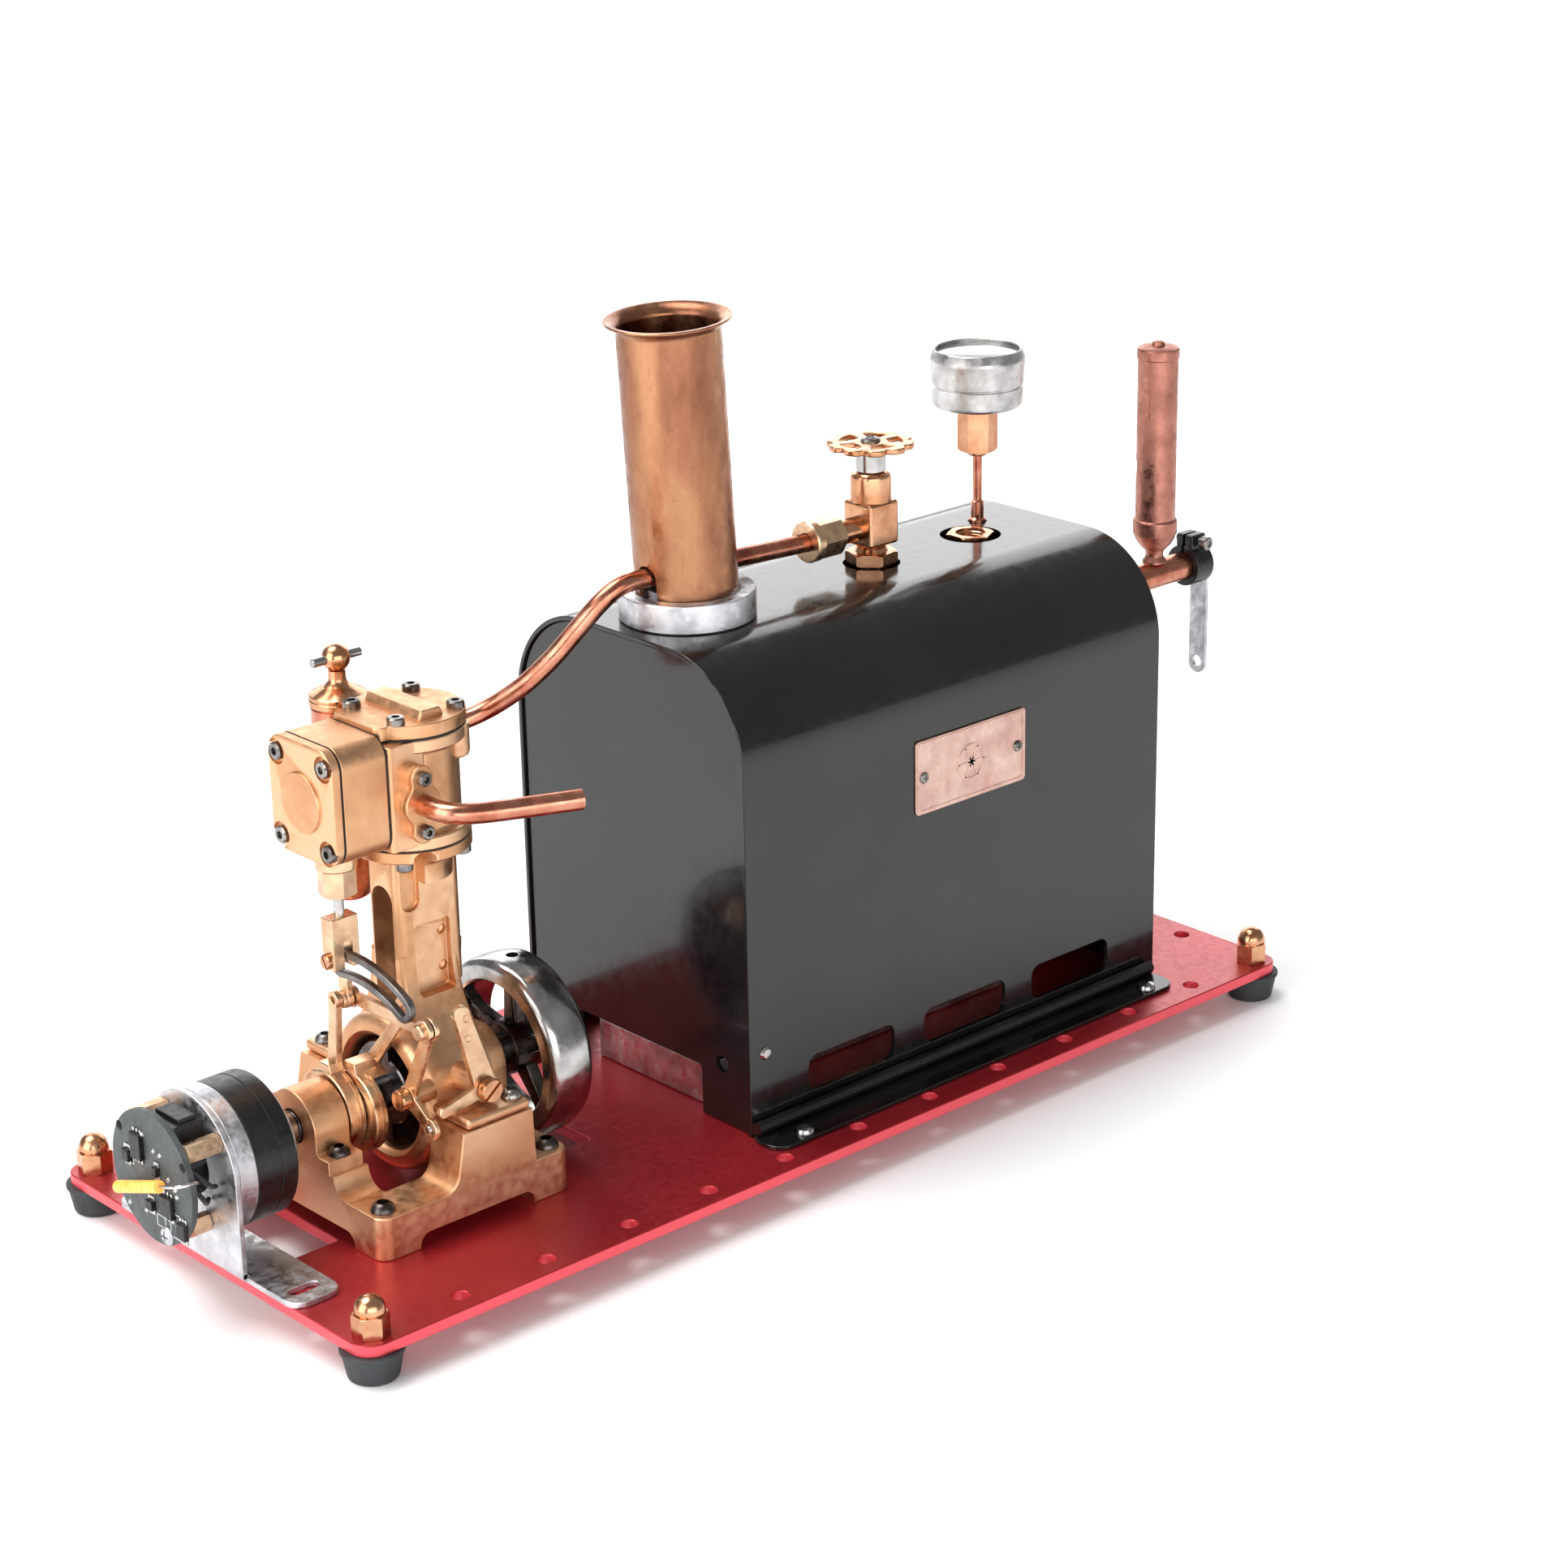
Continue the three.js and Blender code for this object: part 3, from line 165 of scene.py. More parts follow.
def prism(outlines, axis, low, high, bevel=0.2, rounds=2):
    """A flat piece with rounded edges; the first outline is the rim and the others are holes."""
    curve = bpy.data.curves.new("outline", "CURVE")
    curve.dimensions = "2D"
    curve.fill_mode = "BOTH"
    curve.extrude = (high - low) / 2 - bevel
    curve.bevel_depth = bevel
    curve.bevel_resolution = rounds
    curve.offset = -bevel
    for outline in outlines:
        spline = curve.splines.new("POLY")
        spline.points.add(len(outline) - 1)
        spline.use_cyclic_u = True
        for point, (u, v) in zip(spline.points, outline):
            point.co = (u, v, 0, 1)
    holder = bpy.data.objects.new("outline", curve)
    bpy.context.scene.collection.objects.link(holder)
    graph = bpy.context.evaluated_depsgraph_get()
    mesh = bpy.data.meshes.new_from_object(holder.evaluated_get(graph))
    bm = bmesh.new()
    bm.from_mesh(mesh)
    bpy.data.objects.remove(holder)
    bpy.data.meshes.remove(mesh)
    bm.transform(turned(axis) @ Matrix.Translation((0, 0, (low + high) / 2)))
    return made(bm)


def cylinder(axis, centre, r, low, high, bevel=0.15, count=40):
    return prism([circle(centre, r, count)], axis, low, high, bevel)


def block(x0, x1, y0, y1, z0, z1, bevel=0.3):
    return prism([round_rect(x0, x1, y0, y1, bevel, 3)], "z", z0, z1, bevel)


def hexagon(axis, centre, r, low, high, phase=0.0, chamfer=0.5):
    """A hexagon nut or bush of corner radius r, its corners turned down to a cone."""
    outline = arc(centre, r, phase, phase + 300, 5)
    body = prism([outline], axis, low, high, 0.08, 1)
    cone = lathe(
        [(0, low), (r - chamfer, low), (r + 0.1, low + chamfer * 0.7),
         (r + 0.1, high - chamfer * 0.7), (r - chamfer, high), (0, high)],
        axis, centre, 48,
    )
    return combine("INTERSECT", body, cone)


def combine(operation, base, *tools):
    """Boolean of loose objects; the tools are used up."""
    for tool in tools:
        step = base.modifiers.new("step", "BOOLEAN")
        step.operation = operation
        step.solver = "MANIFOLD"
        step.object = tool
    graph = bpy.context.evaluated_depsgraph_get()
    mesh = bpy.data.meshes.new_from_object(base.evaluated_get(graph))
    base.modifiers.clear()
    base.data = mesh
    for tool in tools:
        bpy.data.objects.remove(tool)
    return base


def cut(base, *tools):
    return combine("DIFFERENCE", base, *tools)


def join(base, *parts):
    return combine("UNION", base, *parts)


def gather(*objs):
    """Several loose objects as one, left as separate shells."""
    bm = bmesh.new()
    for obj in objs:
        bm.from_mesh(obj.data)
        bpy.data.objects.remove(obj)
    mesh = bpy.data.meshes.new("shape")
    bm.to_mesh(mesh)
    bm.free()
    obj = bpy.data.objects.new("shape", mesh)
    bpy.context.scene.collection.objects.link(obj)
    return obj


def soften(obj, width=0.3, segments=2, angle=38):
    """Rounds the sharp edges that booleans leave."""
    bm = bmesh.new()
    bm.from_mesh(obj.data)
    bmesh.ops.remove_doubles(bm, verts=bm.verts, dist=1e-3)
    bmesh.ops.dissolve_limit(
        bm, angle_limit=math.radians(1.5), verts=bm.verts, edges=bm.edges, delimit=set()
    )
    bm.to_mesh(obj.data)
    bm.free()
    step = obj.modifiers.new("round", "BEVEL")
    step.width = width
    step.segments = segments
    step.limit_method = "ANGLE"
    step.angle_limit = math.radians(angle)
    step.use_clamp_overlap = True
    step.miter_outer = "MITER_ARC"
    graph = bpy.context.evaluated_depsgraph_get()
    mesh = bpy.data.meshes.new_from_object(obj.evaluated_get(graph))
    obj.modifiers.clear()
    obj.data = mesh
    return obj


def smooth_path(points, per_span=8):
    """Catmull-Rom points through a given route."""
    route = [Vector(p) for p in points]
    ends = [route[0] * 2 - route[1]] + route + [route[-1] * 2 - route[-2]]
    path = []
    for i in range(1, len(ends) - 2):
        a, b, c, d = ends[i - 1:i + 3]
        for step in range(per_span):
            t = step / per_span
            path.append(0.5 * (
                2 * b + (c - a) * t + (2 * a - 5 * b + 4 * c - d) * t * t
                + (3 * b - a - 3 * c + d) * t * t * t
            ))
    return path + [route[-1]]


def tube(points, r, per_span=8, count=28):
    """A round bar along a smooth route."""
    path = smooth_path(points, per_span)
    bm = bmesh.new()
    rings = []
    side = None
    for i, p in enumerate(path):
        ahead = (path[min(i + 1, len(path) - 1)] - path[max(i - 1, 0)]).normalized()
        if side is None:
            side = ahead.orthogonal().normalized()
        side = (side - ahead * side.dot(ahead)).normalized()
        up = ahead.cross(side)
        rings.append([
            bm.verts.new(p + (side * math.cos(TAU * k / count) + up * math.sin(TAU * k / count)) * r)
            for k in range(count)
        ])
    for a, b in zip(rings, rings[1:]):
        for k in range(count):
            n = (k + 1) % count
            bm.faces.new([a[k], a[n], b[n], b[k]])
    bm.faces.new(rings[0])
    bm.faces.new(rings[-1])
    return made(bm)


def even_shading(obj):
    """Lets the large flat faces keep flat shading next to their rounded edges."""
    step = obj.modifiers.new("even", "WEIGHTED_NORMAL")
    step.keep_sharp = True
    step.weight = 100
    graph = bpy.context.evaluated_depsgraph_get()
    mesh = bpy.data.meshes.new_from_object(obj.evaluated_get(graph))
    obj.modifiers.clear()
    mesh.name = obj.name
    obj.data = mesh


def place(obj, name, material, *nodes, like=None, sharp=32):
    """Puts a finished loose object into the frame, as the piece that stands for these CAD nodes."""
    obj.name = name
    obj.data.name = name
    obj.data.transform(Matrix.Translation(ORIGIN) @ Matrix.Scale(MM, 4))
    obj.data.materials.clear()
    obj.data.materials.append(material)
    obj.data.polygons.foreach_set("use_smooth", [True] * len(obj.data.polygons))
    obj.data.set_sharp_from_angle(angle=math.radians(sharp))
    even_shading(obj)
    source = nodes[0] if nodes else like
    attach(obj, BODY_OF[source])
    if nodes:
        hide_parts(*nodes)
    return obj


# ---------------------------------------------------------------- materials


def srgb(code):
    """A hex colour as linear RGBA."""
    parts = [int(code[i:i + 2], 16) / 255 for i in (0, 2, 4)]
    return [*((p / 12.92 if p < 0.04045 else ((p + 0.055) / 1.055) ** 2.4) for p in parts), 1.0]


class Look:
    """A Principled material under construction. Feature sizes are given in millimetres."""

    def __init__(self, name, roughness, metallic=0.0, **sockets):
        self.material = bpy.data.materials.new(name)
        self.material.use_nodes = True
        self.tree = self.material.node_tree
        self.shader = self.tree.nodes["Principled BSDF"]
        self.shader.inputs["Roughness"].default_value = roughness
        self.shader.inputs["Metallic"].default_value = metallic
        for socket, value in sockets.items():
            self.shader.inputs[socket.replace("_", " ")].default_value = value
        self.last_bump = None

    def node(self, kind, **settings):
        made_node = self.tree.nodes.new(kind)
        for key, value in settings.items():
            setattr(made_node, key, value)
        return made_node

    def wire(self, out, into):
        self.tree.links.new(out, into)

    def noise(self, size, detail=4.0, rough=0.55, stretch=(1, 1, 1)):
        coords = self.node("ShaderNodeTexCoord")
        mapping = self.node("ShaderNodeMapping")
        mapping.inputs["Scale"].default_value = stretch
        texture = self.node("ShaderNodeTexNoise")
        texture.inputs["Scale"].default_value = 1 / (size * MM)
        texture.inputs["Detail"].default_value = detail
        texture.inputs["Roughness"].default_value = rough
        self.wire(coords.outputs["Object"], mapping.inputs["Vector"])
        self.wire(mapping.outputs["Vector"], texture.inputs["Vector"])
        return texture.outputs["Fac"]

    def ramp(self, fac, *stops):
        ramp = self.node("ShaderNodeValToRGB")
        elements = ramp.color_ramp.elements
        while len(elements) < len(stops):
            elements.new(0.5)
        for element, (position, colour) in zip(elements, stops):
            element.position = position
            element.color = colour
        self.wire(fac, ramp.inputs["Fac"])
        return ramp.outputs["Color"]

    def spread(self, fac, low, high, start=0.35, end=0.65):
        rng = self.node("ShaderNodeMapRange")
        rng.inputs["From Min"].default_value = start
        rng.inputs["From Max"].default_value = end
        rng.inputs["To Min"].default_value = low
        rng.inputs["To Max"].default_value = high
        self.wire(fac, rng.inputs["Value"])
        return rng.outputs["Result"]

    def blend(self, fac, colour_a, colour_b, mode="MIX"):
        mix = self.node("ShaderNodeMix", data_type="RGBA", blend_type=mode)
        self.wire(fac, mix.inputs[0])
        for value, socket in ((colour_a, mix.inputs[6]), (colour_b, mix.inputs[7])):
            if isinstance(value, list):
                socket.default_value = value
            else:
                self.wire(value, socket)
        return mix.outputs[2]

    def edges(self, start=0.52, end=0.6):
        """Bright where an edge stands out."""
        geometry = self.node("ShaderNodeNewGeometry")
        return self.spread(geometry.outputs["Pointiness"], 0.0, 1.0, start, end)

    def colour(self, value):
        self.wire(value, self.shader.inputs["Base Color"])
        return self

    def roughness(self, value):
        self.wire(value, self.shader.inputs["Roughness"])
        return self

    def bump(self, height, strength, depth):
        bump = self.node("ShaderNodeBump")
        bump.inputs["Strength"].default_value = strength
        bump.inputs["Distance"].default_value = depth * MM
        self.wire(height, bump.inputs["Height"])
        if self.last_bump:
            self.wire(self.last_bump, bump.inputs["Normal"])
        self.last_bump = bump.outputs["Normal"]
        self.wire(self.last_bump, self.shader.inputs["Normal"])
        return self


def cast_metal(name, dark, mid, light, roughness):
    """Bead-blasted or cast metal: fine grain, cloudy tint and brighter edges."""
    look = Look(name, roughness, 1.0)
    clouds = look.ramp(look.noise(14, 4), (0.22, srgb(dark)), (0.5, srgb(mid)), (0.8, srgb(light)))
    worn = look.blend(look.edges(), clouds, srgb(light))
    look.colour(worn)
    look.roughness(look.spread(look.noise(2.5, 6), roughness - 0.08, roughness + 0.1))
    look.bump(look.noise(0.35, 3), 0.22, 0.04)
    return look.bump(look.noise(6, 3), 0.08, 0.2).material


def polished_metal(name, dark, light, roughness, scratches=(1, 1, 14)):
    """Turned and polished metal: faint drawn lines, smudges and tarnish."""
    look = Look(name, roughness, 1.0)
    look.colour(look.ramp(look.noise(7, 6), (0.32, srgb(dark)), (0.66, srgb(light))))
    look.roughness(look.spread(look.noise(3, 8, 0.7), roughness * 0.6, roughness * 1.7))
    return look.bump(look.noise(1.2, 4, 0.6, scratches), 0.06, 0.05).material


def copper_metal():
    look = Look("copper_heated", 0.22, 1.0)
    base = look.ramp(
        look.noise(11, 6, 0.6),
        (0.28, srgb("945242")), (0.45, srgb("BA725A")), (0.6, srgb("D09078")), (0.76, srgb("BE805C")),
    )
    spots = look.spread(look.noise(2.2, 7, 0.7), 0.0, 0.55, 0.58, 0.7)
    look.colour(look.blend(spots, base, srgb("7A4A32")))
    look.roughness(look.spread(look.noise(4, 6), 0.14, 0.36))
    return look.bump(look.noise(0.8, 3), 0.05, 0.04).material


def chimney_metal():
    """Copper aged by heat: blotchy brown tones, darker spots and upright streaks."""
    look = Look("chimney_aged_copper", 0.3, 1.0)
    base = look.ramp(
        look.noise(14, 6, 0.62, (1, 1, 0.35)),
        (0.3, srgb("7C4E3A")), (0.48, srgb("9C6A50")), (0.62, srgb("B0805E")), (0.78, srgb("8A5C42")),
    )
    spots = look.spread(look.noise(1.6, 8, 0.75), 0.0, 0.7, 0.6, 0.72)
    look.colour(look.blend(spots, base, srgb("6E4630")))
    look.roughness(look.spread(look.noise(5, 7), 0.2, 0.45))
    return look.bump(look.noise(1.0, 4, 0.6, (1, 1, 0.3)), 0.08, 0.06).material


def red_plate_paint():
    look = Look("plate_red_satin", 0.36, 0.55, Coat_Weight=0.25, Coat_Roughness=0.3)
    base = look.ramp(look.noise(30, 5), (0.35, srgb("A01E26")), (0.65, srgb("B4272E")))
    dust = look.spread(look.noise(0.7, 8, 0.8), 0.0, 0.6, 0.68, 0.76)
    dusty = look.blend(dust, base, srgb("C98C88"))
    # Faces that turn sideways (low normal Z) are painted a lighter red: a painted highlight on the plate's
    # side faces and hole walls.
    geometry = look.node("ShaderNodeNewGeometry")
    parts = look.node("ShaderNodeSeparateXYZ")
    look.wire(geometry.outputs["Normal"], parts.inputs["Vector"])
    flat = look.spread(parts.outputs["Z"], 1.0, 0.0, 0.1, 0.7)
    look.colour(look.blend(flat, dusty, srgb("E8505C")))
    look.roughness(look.spread(look.noise(1.8, 6), 0.3, 0.44))
    return look.bump(look.noise(0.5, 3), 0.08, 0.05).material


def black_paint():
    look = Look("casing_black_paint", 0.16, 0.0, Coat_Weight=0.2, Coat_Roughness=0.05)
    base = look.ramp(look.noise(24, 4), (0.35, srgb("0E0D0E")), (0.65, srgb("171617")))
    dust = look.spread(look.noise(0.9, 9, 0.85), 0.0, 1.0, 0.72, 0.78)
    look.colour(look.blend(dust, base, srgb("6C6A66")))
    look.roughness(look.spread(look.noise(3, 6), 0.12, 0.22))
    return look.bump(look.noise(6, 2), 0.02, 0.1).material


def plastic(name, dark, light, roughness, grain=0.6, strength=0.15):
    look = Look(name, roughness, 0.0)
    look.colour(look.ramp(look.noise(6, 6), (0.35, srgb(dark)), (0.68, srgb(light))))
    look.roughness(look.spread(look.noise(2, 6), roughness - 0.08, min(1.0, roughness + 0.1)))
    return look.bump(look.noise(grain, 3), strength, 0.08).material


def glass_look():
    look = Look("gauge_glass_clear", 0.02, 0.0, Transmission_Weight=1.0, IOR=1.45)
    look.colour(look.ramp(look.noise(20, 2), (0.3, srgb("F2F6F6")), (0.7, srgb("FFFFFF"))))
    return look.material


def lamp_look():
    look = Look("lamp_orange_resin", 0.35, 0.0, Emission_Strength=0.35)
    look.shader.inputs["Emission Color"].default_value = srgb("FFA63A")
    look.colour(look.ramp(look.noise(1.6, 4), (0.35, srgb("FF9A2E")), (0.65, srgb("FFC067"))))
    return look.bump(look.noise(0.8, 3), 0.1, 0.1).material


BRONZE = cast_metal("bronze_blasted", "C6906A", "D5A278", "E6BA94", 0.42)
BRASS = polished_metal("brass_polished", "B87E58", "DCA884", 0.2)
SATIN_BRASS = polished_metal("brass_satin", "D0A484", "ECCCA8", 0.3)
PINK_BRASS = polished_metal("brass_nameplate", "C8A094", "DCBCAE", 0.34)
WHISTLE_BRASS = polished_metal("brass_whistle", "9E685A", "BA8070", 0.36)
COPPER = copper_metal()
CHIMNEY = chimney_metal()
STEEL = polished_metal("steel_polished", "8E8C8A", "C6C4C2", 0.16)
SATIN_STEEL = polished_metal("steel_satin", "9C9A98", "D8D6D4", 0.34)
DARK_STEEL = polished_metal("steel_dark", "3C3634", "6A625E", 0.26)
LINK_STEEL = polished_metal("steel_link_grey", "5E5C5C", "8A8684", 0.36)
WEB_STEEL = polished_metal("steel_crank_grey", "5A5656", "827E7E", 0.24)
SCREW_STEEL = polished_metal("screw_steel", "5A5654", "A8A4A0", 0.24)
ALUMINIUM = polished_metal("aluminium_satin", "B4B4B8", "DCDCE0", 0.38)
RED = red_plate_paint()
BLACK = black_paint()
RUBBER = plastic("rubber_grey_black", "232628", "34383A", 0.62, 0.5, 0.2)
CAN_BLACK = plastic("generator_black", "0C0C0D", "161617", 0.34, 1.5, 0.05)
GASKET = plastic("gasket_dark", "0E0D0C", "1C1A18", 0.7)
DIAL = plastic("dial_white", "E8E6E0", "F6F4F0", 0.5, 1.0, 0.02)
INK = plastic("dial_ink", "141414", "202020", 0.6)
RED_MARK = plastic("red_mark", "B8231C", "D8362C", 0.5)
BOARD = plastic("board_grey_lacquer", "3A3F40", "4C5253", 0.5, 0.8, 0.1)
CHIP = plastic("chip_black", "0A0A0B", "1A1A1B", 0.4)
SOLDER = polished_metal("solder_tin", "A8A8A8", "E0E0E0", 0.22)
PRINT = plastic("board_print_white", "C8CCCC", "E4E6E6", 0.6)
LAMP = lamp_look()
GLASS = glass_look()

# ---------------------------------------------------------------- screws


def along(seat, sign, profile):
    return [(r, seat + sign * h) for r, h in profile]


def socket_screw(axis, centre, seat, sign, r=2.4, h=2.4, domed=False):
    """Hexagon socket screw: straight cap head or low domed button head."""
    if domed:
        outline = [(0, 0), (r, 0), (r, 0.25 * h), (r * 0.86, 0.62 * h), (r * 0.62, 0.9 * h),
                   (r * 0.45, h), (0, h)]
    else:
        outline = [(0, 0), (r, 0), (r, h - 0.35), (r - 0.35, h), (0, h)]
    head = lathe(along(seat, sign, outline), axis, centre, 32)
    low, high = sorted((seat + sign * h * 0.35, seat + sign * (h + 1)))
    key = prism([arc(centre, r * 0.5, 20, 320, 5)], axis, low, high, 0.02, 1)
    return cut(head, key)


def crossed_screw(axis, centre, seat, sign, r=2.2, h=1.5):
    """Pan head screw with a cross recess."""
    head = lathe(along(seat, sign, [(0, 0), (r, 0), (r, 0.3 * h), (r * 0.85, 0.7 * h),
                                    (r * 0.5, 0.95 * h), (0, h)]), axis, centre, 32)
    low, high = sorted((seat + sign * h * 0.45, seat + sign * (h + 1)))
    u, v = centre
    arms = [
        prism([round_rect(u - r * 0.55, u + r * 0.55, v - r * 0.12, v + r * 0.12, 0.05, 1)],
              axis, low, high, 0.02, 1),
        prism([round_rect(u - r * 0.12, u + r * 0.12, v - r * 0.55, v + r * 0.55, 0.05, 1)],
              axis, low, high, 0.02, 1),
    ]
    return cut(head, *arms)


def slotted_screw(axis, centre, seat, sign, r=2.9, h=2.2, angle=25.0, width=0.7):
    """Cheese head screw with one slot."""
    head = lathe(along(seat, sign, [(0, 0), (r, 0), (r, h - 0.3), (r - 0.3, h), (0, h)]),
                 axis, centre, 40)
    low, high = sorted((seat + sign * h * 0.5, seat + sign * (h + 1)))
    c, s = math.cos(math.radians(angle)), math.sin(math.radians(angle))
    u, v = centre
    reach = r + 1
    corners = [(-reach, -width / 2), (reach, -width / 2), (reach, width / 2), (-reach, width / 2)]
    slot = prism([[(u + a * c - b * s, v + a * s + b * c) for a, b in corners]],
                 axis, low, high, 0.02, 1)
    return cut(head, slot)


# ---------------------------------------------------------------- base

CORNERS = {
    "front_left": (0, 0), "front_right": (NUT_X, 0),
    "back_left": (0, NUT_Y), "back_right": (NUT_X, NUT_Y),
}
HOLE_PITCH = 25.0
SIDE_HOLE = 25.3


def base_plate():
    spots = [(x * HOLE_PITCH, y) for x in range(1, 12) for y in (0, NUT_Y)]
    spots += [(x, y) for x in (0, NUT_X) for y in (SIDE_HOLE, NUT_Y - SIDE_HOLE)]
    outlines = [round_rect(PLATE[0].x, PLATE[1].x, PLATE[0].y, PLATE[1].y, 5.5, 10)]
    outlines += [circle(spot, 2.1, 28) for spot in spots]
    outlines.append(round_rect(-2.5, 20.9, 41.5, 72.5, 1, 4))
    outlines.append(round_rect(80.4, 97.4, 41.6, 72.4, 1, 4))
    plate = prism(outlines, "z", PLATE_BOTTOM, 0, 0.35, 3)
    place(plate, "base_plate_painted", RED, "base_plate")


def corners():
    for place_name, spot in CORNERS.items():
        node = "foot_" + place_name
        low = span(node)[0]
        rim = PLATE_BOTTOM
        foot = lathe(
            [(0, low.z), (5.2, low.z), (5.6, low.z + 0.15), (6, low.z + 0.6), (7, rim - 1.6),
             (7.05, rim - 1.25), (7.3, rim - 1.1), (7.5, rim - 0.85), (7.5, rim - 0.2),
             (7.3, rim), (0, rim)],
            "z", spot, 64,
        )
        place(foot, node + "_rubber", RUBBER, node)
        turn = 20 + 13 * len(place_name)
        base = hexagon("z", spot, 4.4, 0, 5.4, turn, 0.45)
        dome = lathe(
            [(0, 4.6), (3.35, 4.6), (3.35, 5.7), (3.7, 5.9)]
            + [(3.7 * math.cos(a * TAU / 64), 6.0 + 3.7 * math.sin(a * TAU / 64)) for a in range(1, 16)]
            + [(0, 9.7)],
            "z", spot, 56,
        )
        place(gather(base, dome), "corner_nut_" + place_name + "_domed", BRASS,
              "corner_nut_" + place_name)


# ---------------------------------------------------------------- boiler casing

CASE = span("casing_end_left")[0].x - 0.8, span("casing_end_right")[1].x + 0.8
CASE_HALF = 43.3
CASE_TOP = 121.8
CASE_R = 26.0
SHEET = 1.2
CHIMNEY_AT = (147.4, MID_Y)
VALVE_AT = (210.7, MID_Y)
FILLER_AT = (247.2, MID_Y)
GAUGE_AT = (257.7, 64.7)
STEAM_Z = 94.6
VENTS = ((146, 176), (186.6, 216.6), (226.6, 256.2))


def arch(inset, base=0.0):
    """The casing's section, drawn in from the outside by an inset."""
    half, top, r = CASE_HALF - inset, CASE_TOP - inset, CASE_R - inset
    return (
        [(MID_Y + half, base)]
        + arc((MID_Y + half - r, top - r), r, 0, 90, 20)
        + arc((MID_Y - half + r, top - r), r, 90, 180, 20)
        + [(MID_Y - half, base)]
    )


def casing():
    strip = arch(0) + arch(SHEET)[::-1]
    shell = prism([strip], "x", CASE[0], CASE[1], 0.25)
    parts = []
    for side in (-1, 1):
        wall = MID_Y + side * (CASE_HALF - 0.4)
        edge = MID_Y + side * 55
        y0, y1 = sorted((wall, edge))
        parts.append(prism([round_rect(125, 272, y0, y1, 5, 8)], "z", 0, SHEET, 0.25))
        face = MID_Y + side * (CASE_HALF - 0.15)
        corner = (face + side * 1.9, SHEET + 1.75)
        bend = [(face, SHEET - 0.3), (face, SHEET + 1.75)]
        bend += arc(corner, 1.75, 180 if side > 0 else 0, 270, 6)[1:]
        bend += [(corner[0], SHEET - 0.3)]
        parts.append(prism([bend], "x", CASE[0] + 0.3, 271.5, 0.02, 1))
    inside = prism([arch(SHEET, -2)], "x", CASE[0] - 4, CASE[1] + 4, 0.02, 1)
    shell = cut(join(shell, *parts), inside)
    tools = [
        prism([round_rect(x0, x1, 6.1, 15.8, 3, 8)], "y", -5, NUT_Y + 5, 0.02, 1)
        for x0, x1 in VENTS
    ]
    for spot, r in ((CHIMNEY_AT, 12), (VALVE_AT, 7.55), (FILLER_AT, 8.2), (GAUGE_AT, 2.6)):
        tools.append(cylinder("z", spot, r, CASE_TOP - 5, CASE_TOP + 5, 0.02))
    shell = soften(cut(shell, *tools), 0.22, 2, 50)
    place(shell, "boiler_casing_wrapper", BLACK, "boiler_casing")

    for node, extra in (("casing_end_left", True), ("casing_end_right", False)):
        low, high = span(node)
        end = prism([arch(SHEET + 0.05, 0.05)], "x", low.x, high.x, 0.45, 3)
        if extra:
            end = cut(
                end,
                prism([round_rect(MID_Y - 24.2, MID_Y + 24.2, -6, 13.5, 1.5, 4)],
                      "x", low.x - 1, high.x + 1, 0.02, 1),
                cylinder("x", (25, 16.2), 2.25, low.x - 1, high.x + 1, 0.02),
            )
        else:
            end = cut(end, cylinder("x", (MID_Y, STEAM_Z), 4.2, low.x - 1, high.x + 1, 0.02))
        place(end, node + "_sheet", BLACK, node)

    screws = [
        crossed_screw("z", (x, y), SHEET, 1, 2.5, 1.6)
        for x in (136.7, 263) for y in (5.5, NUT_Y - 5.5)
    ]
    place(gather(*screws), "casing_flange_screws", STEEL, like="boiler_casing")
    front = MID_Y - CASE_HALF
    rivet = lathe(along(front, -1, [(0, -0.3), (1.7, -0.3), (1.7, 0.2), (1.2, 0.9), (0, 1.2)]),
                  "y", (131.5, 21.5), 28)
    place(rivet, "casing_dome_screw", STEEL, like="boiler_casing")


def nameplate():
    """A plain brass plate with a raised rim and a raised six-spoke wheel; it carries no lettering."""
    low, high = span("nameplate")
    front = low.y
    plate = prism([round_rect(low.x, high.x, low.z, high.z, 1.2, 6)], "y", front + 0.12, high.y, 0.15)
    rim = prism(
        [round_rect(low.x + 0.5, high.x - 0.5, low.z + 0.5, high.z - 0.5, 1, 6),
         round_rect(low.x + 1.2, high.x - 1.2, low.z + 1.2, high.z - 1.2, 0.8, 6)],
        "y", front, front + 0.4, 0.05, 1,
    )
    middle = ((low.x + high.x) / 2, (low.z + high.z) / 2)
    wheel = [
        prism([circle(middle, 5, 48), circle(middle, 4.1, 48)], "y", front, front + 0.4, 0.05, 1),
        prism([circle(middle, 1.4, 24)], "y", front, front + 0.4, 0.05, 1),
    ]
    for i in range(6):
        a = TAU * i / 6
        tip = (middle[0] + 4.3 * math.cos(a), middle[1] + 4.3 * math.sin(a))
        wheel.append(prism([bar_outline(middle, tip, 0.3, 0.3, 0.35, 0.35, 6)],
                           "y", front, front + 0.35, 0.05, 1))
    place(gather(plate, rim, *wheel), "nameplate_blank", PINK_BRASS, "nameplate")
    screws = [
        crossed_screw("y", (x, 79.8), front + 0.15, -1, 1.5, 0.7) for x in (186.4, 220.1)
    ]
    place(gather(*screws), "nameplate_screws", SCREW_STEEL, like="nameplate")


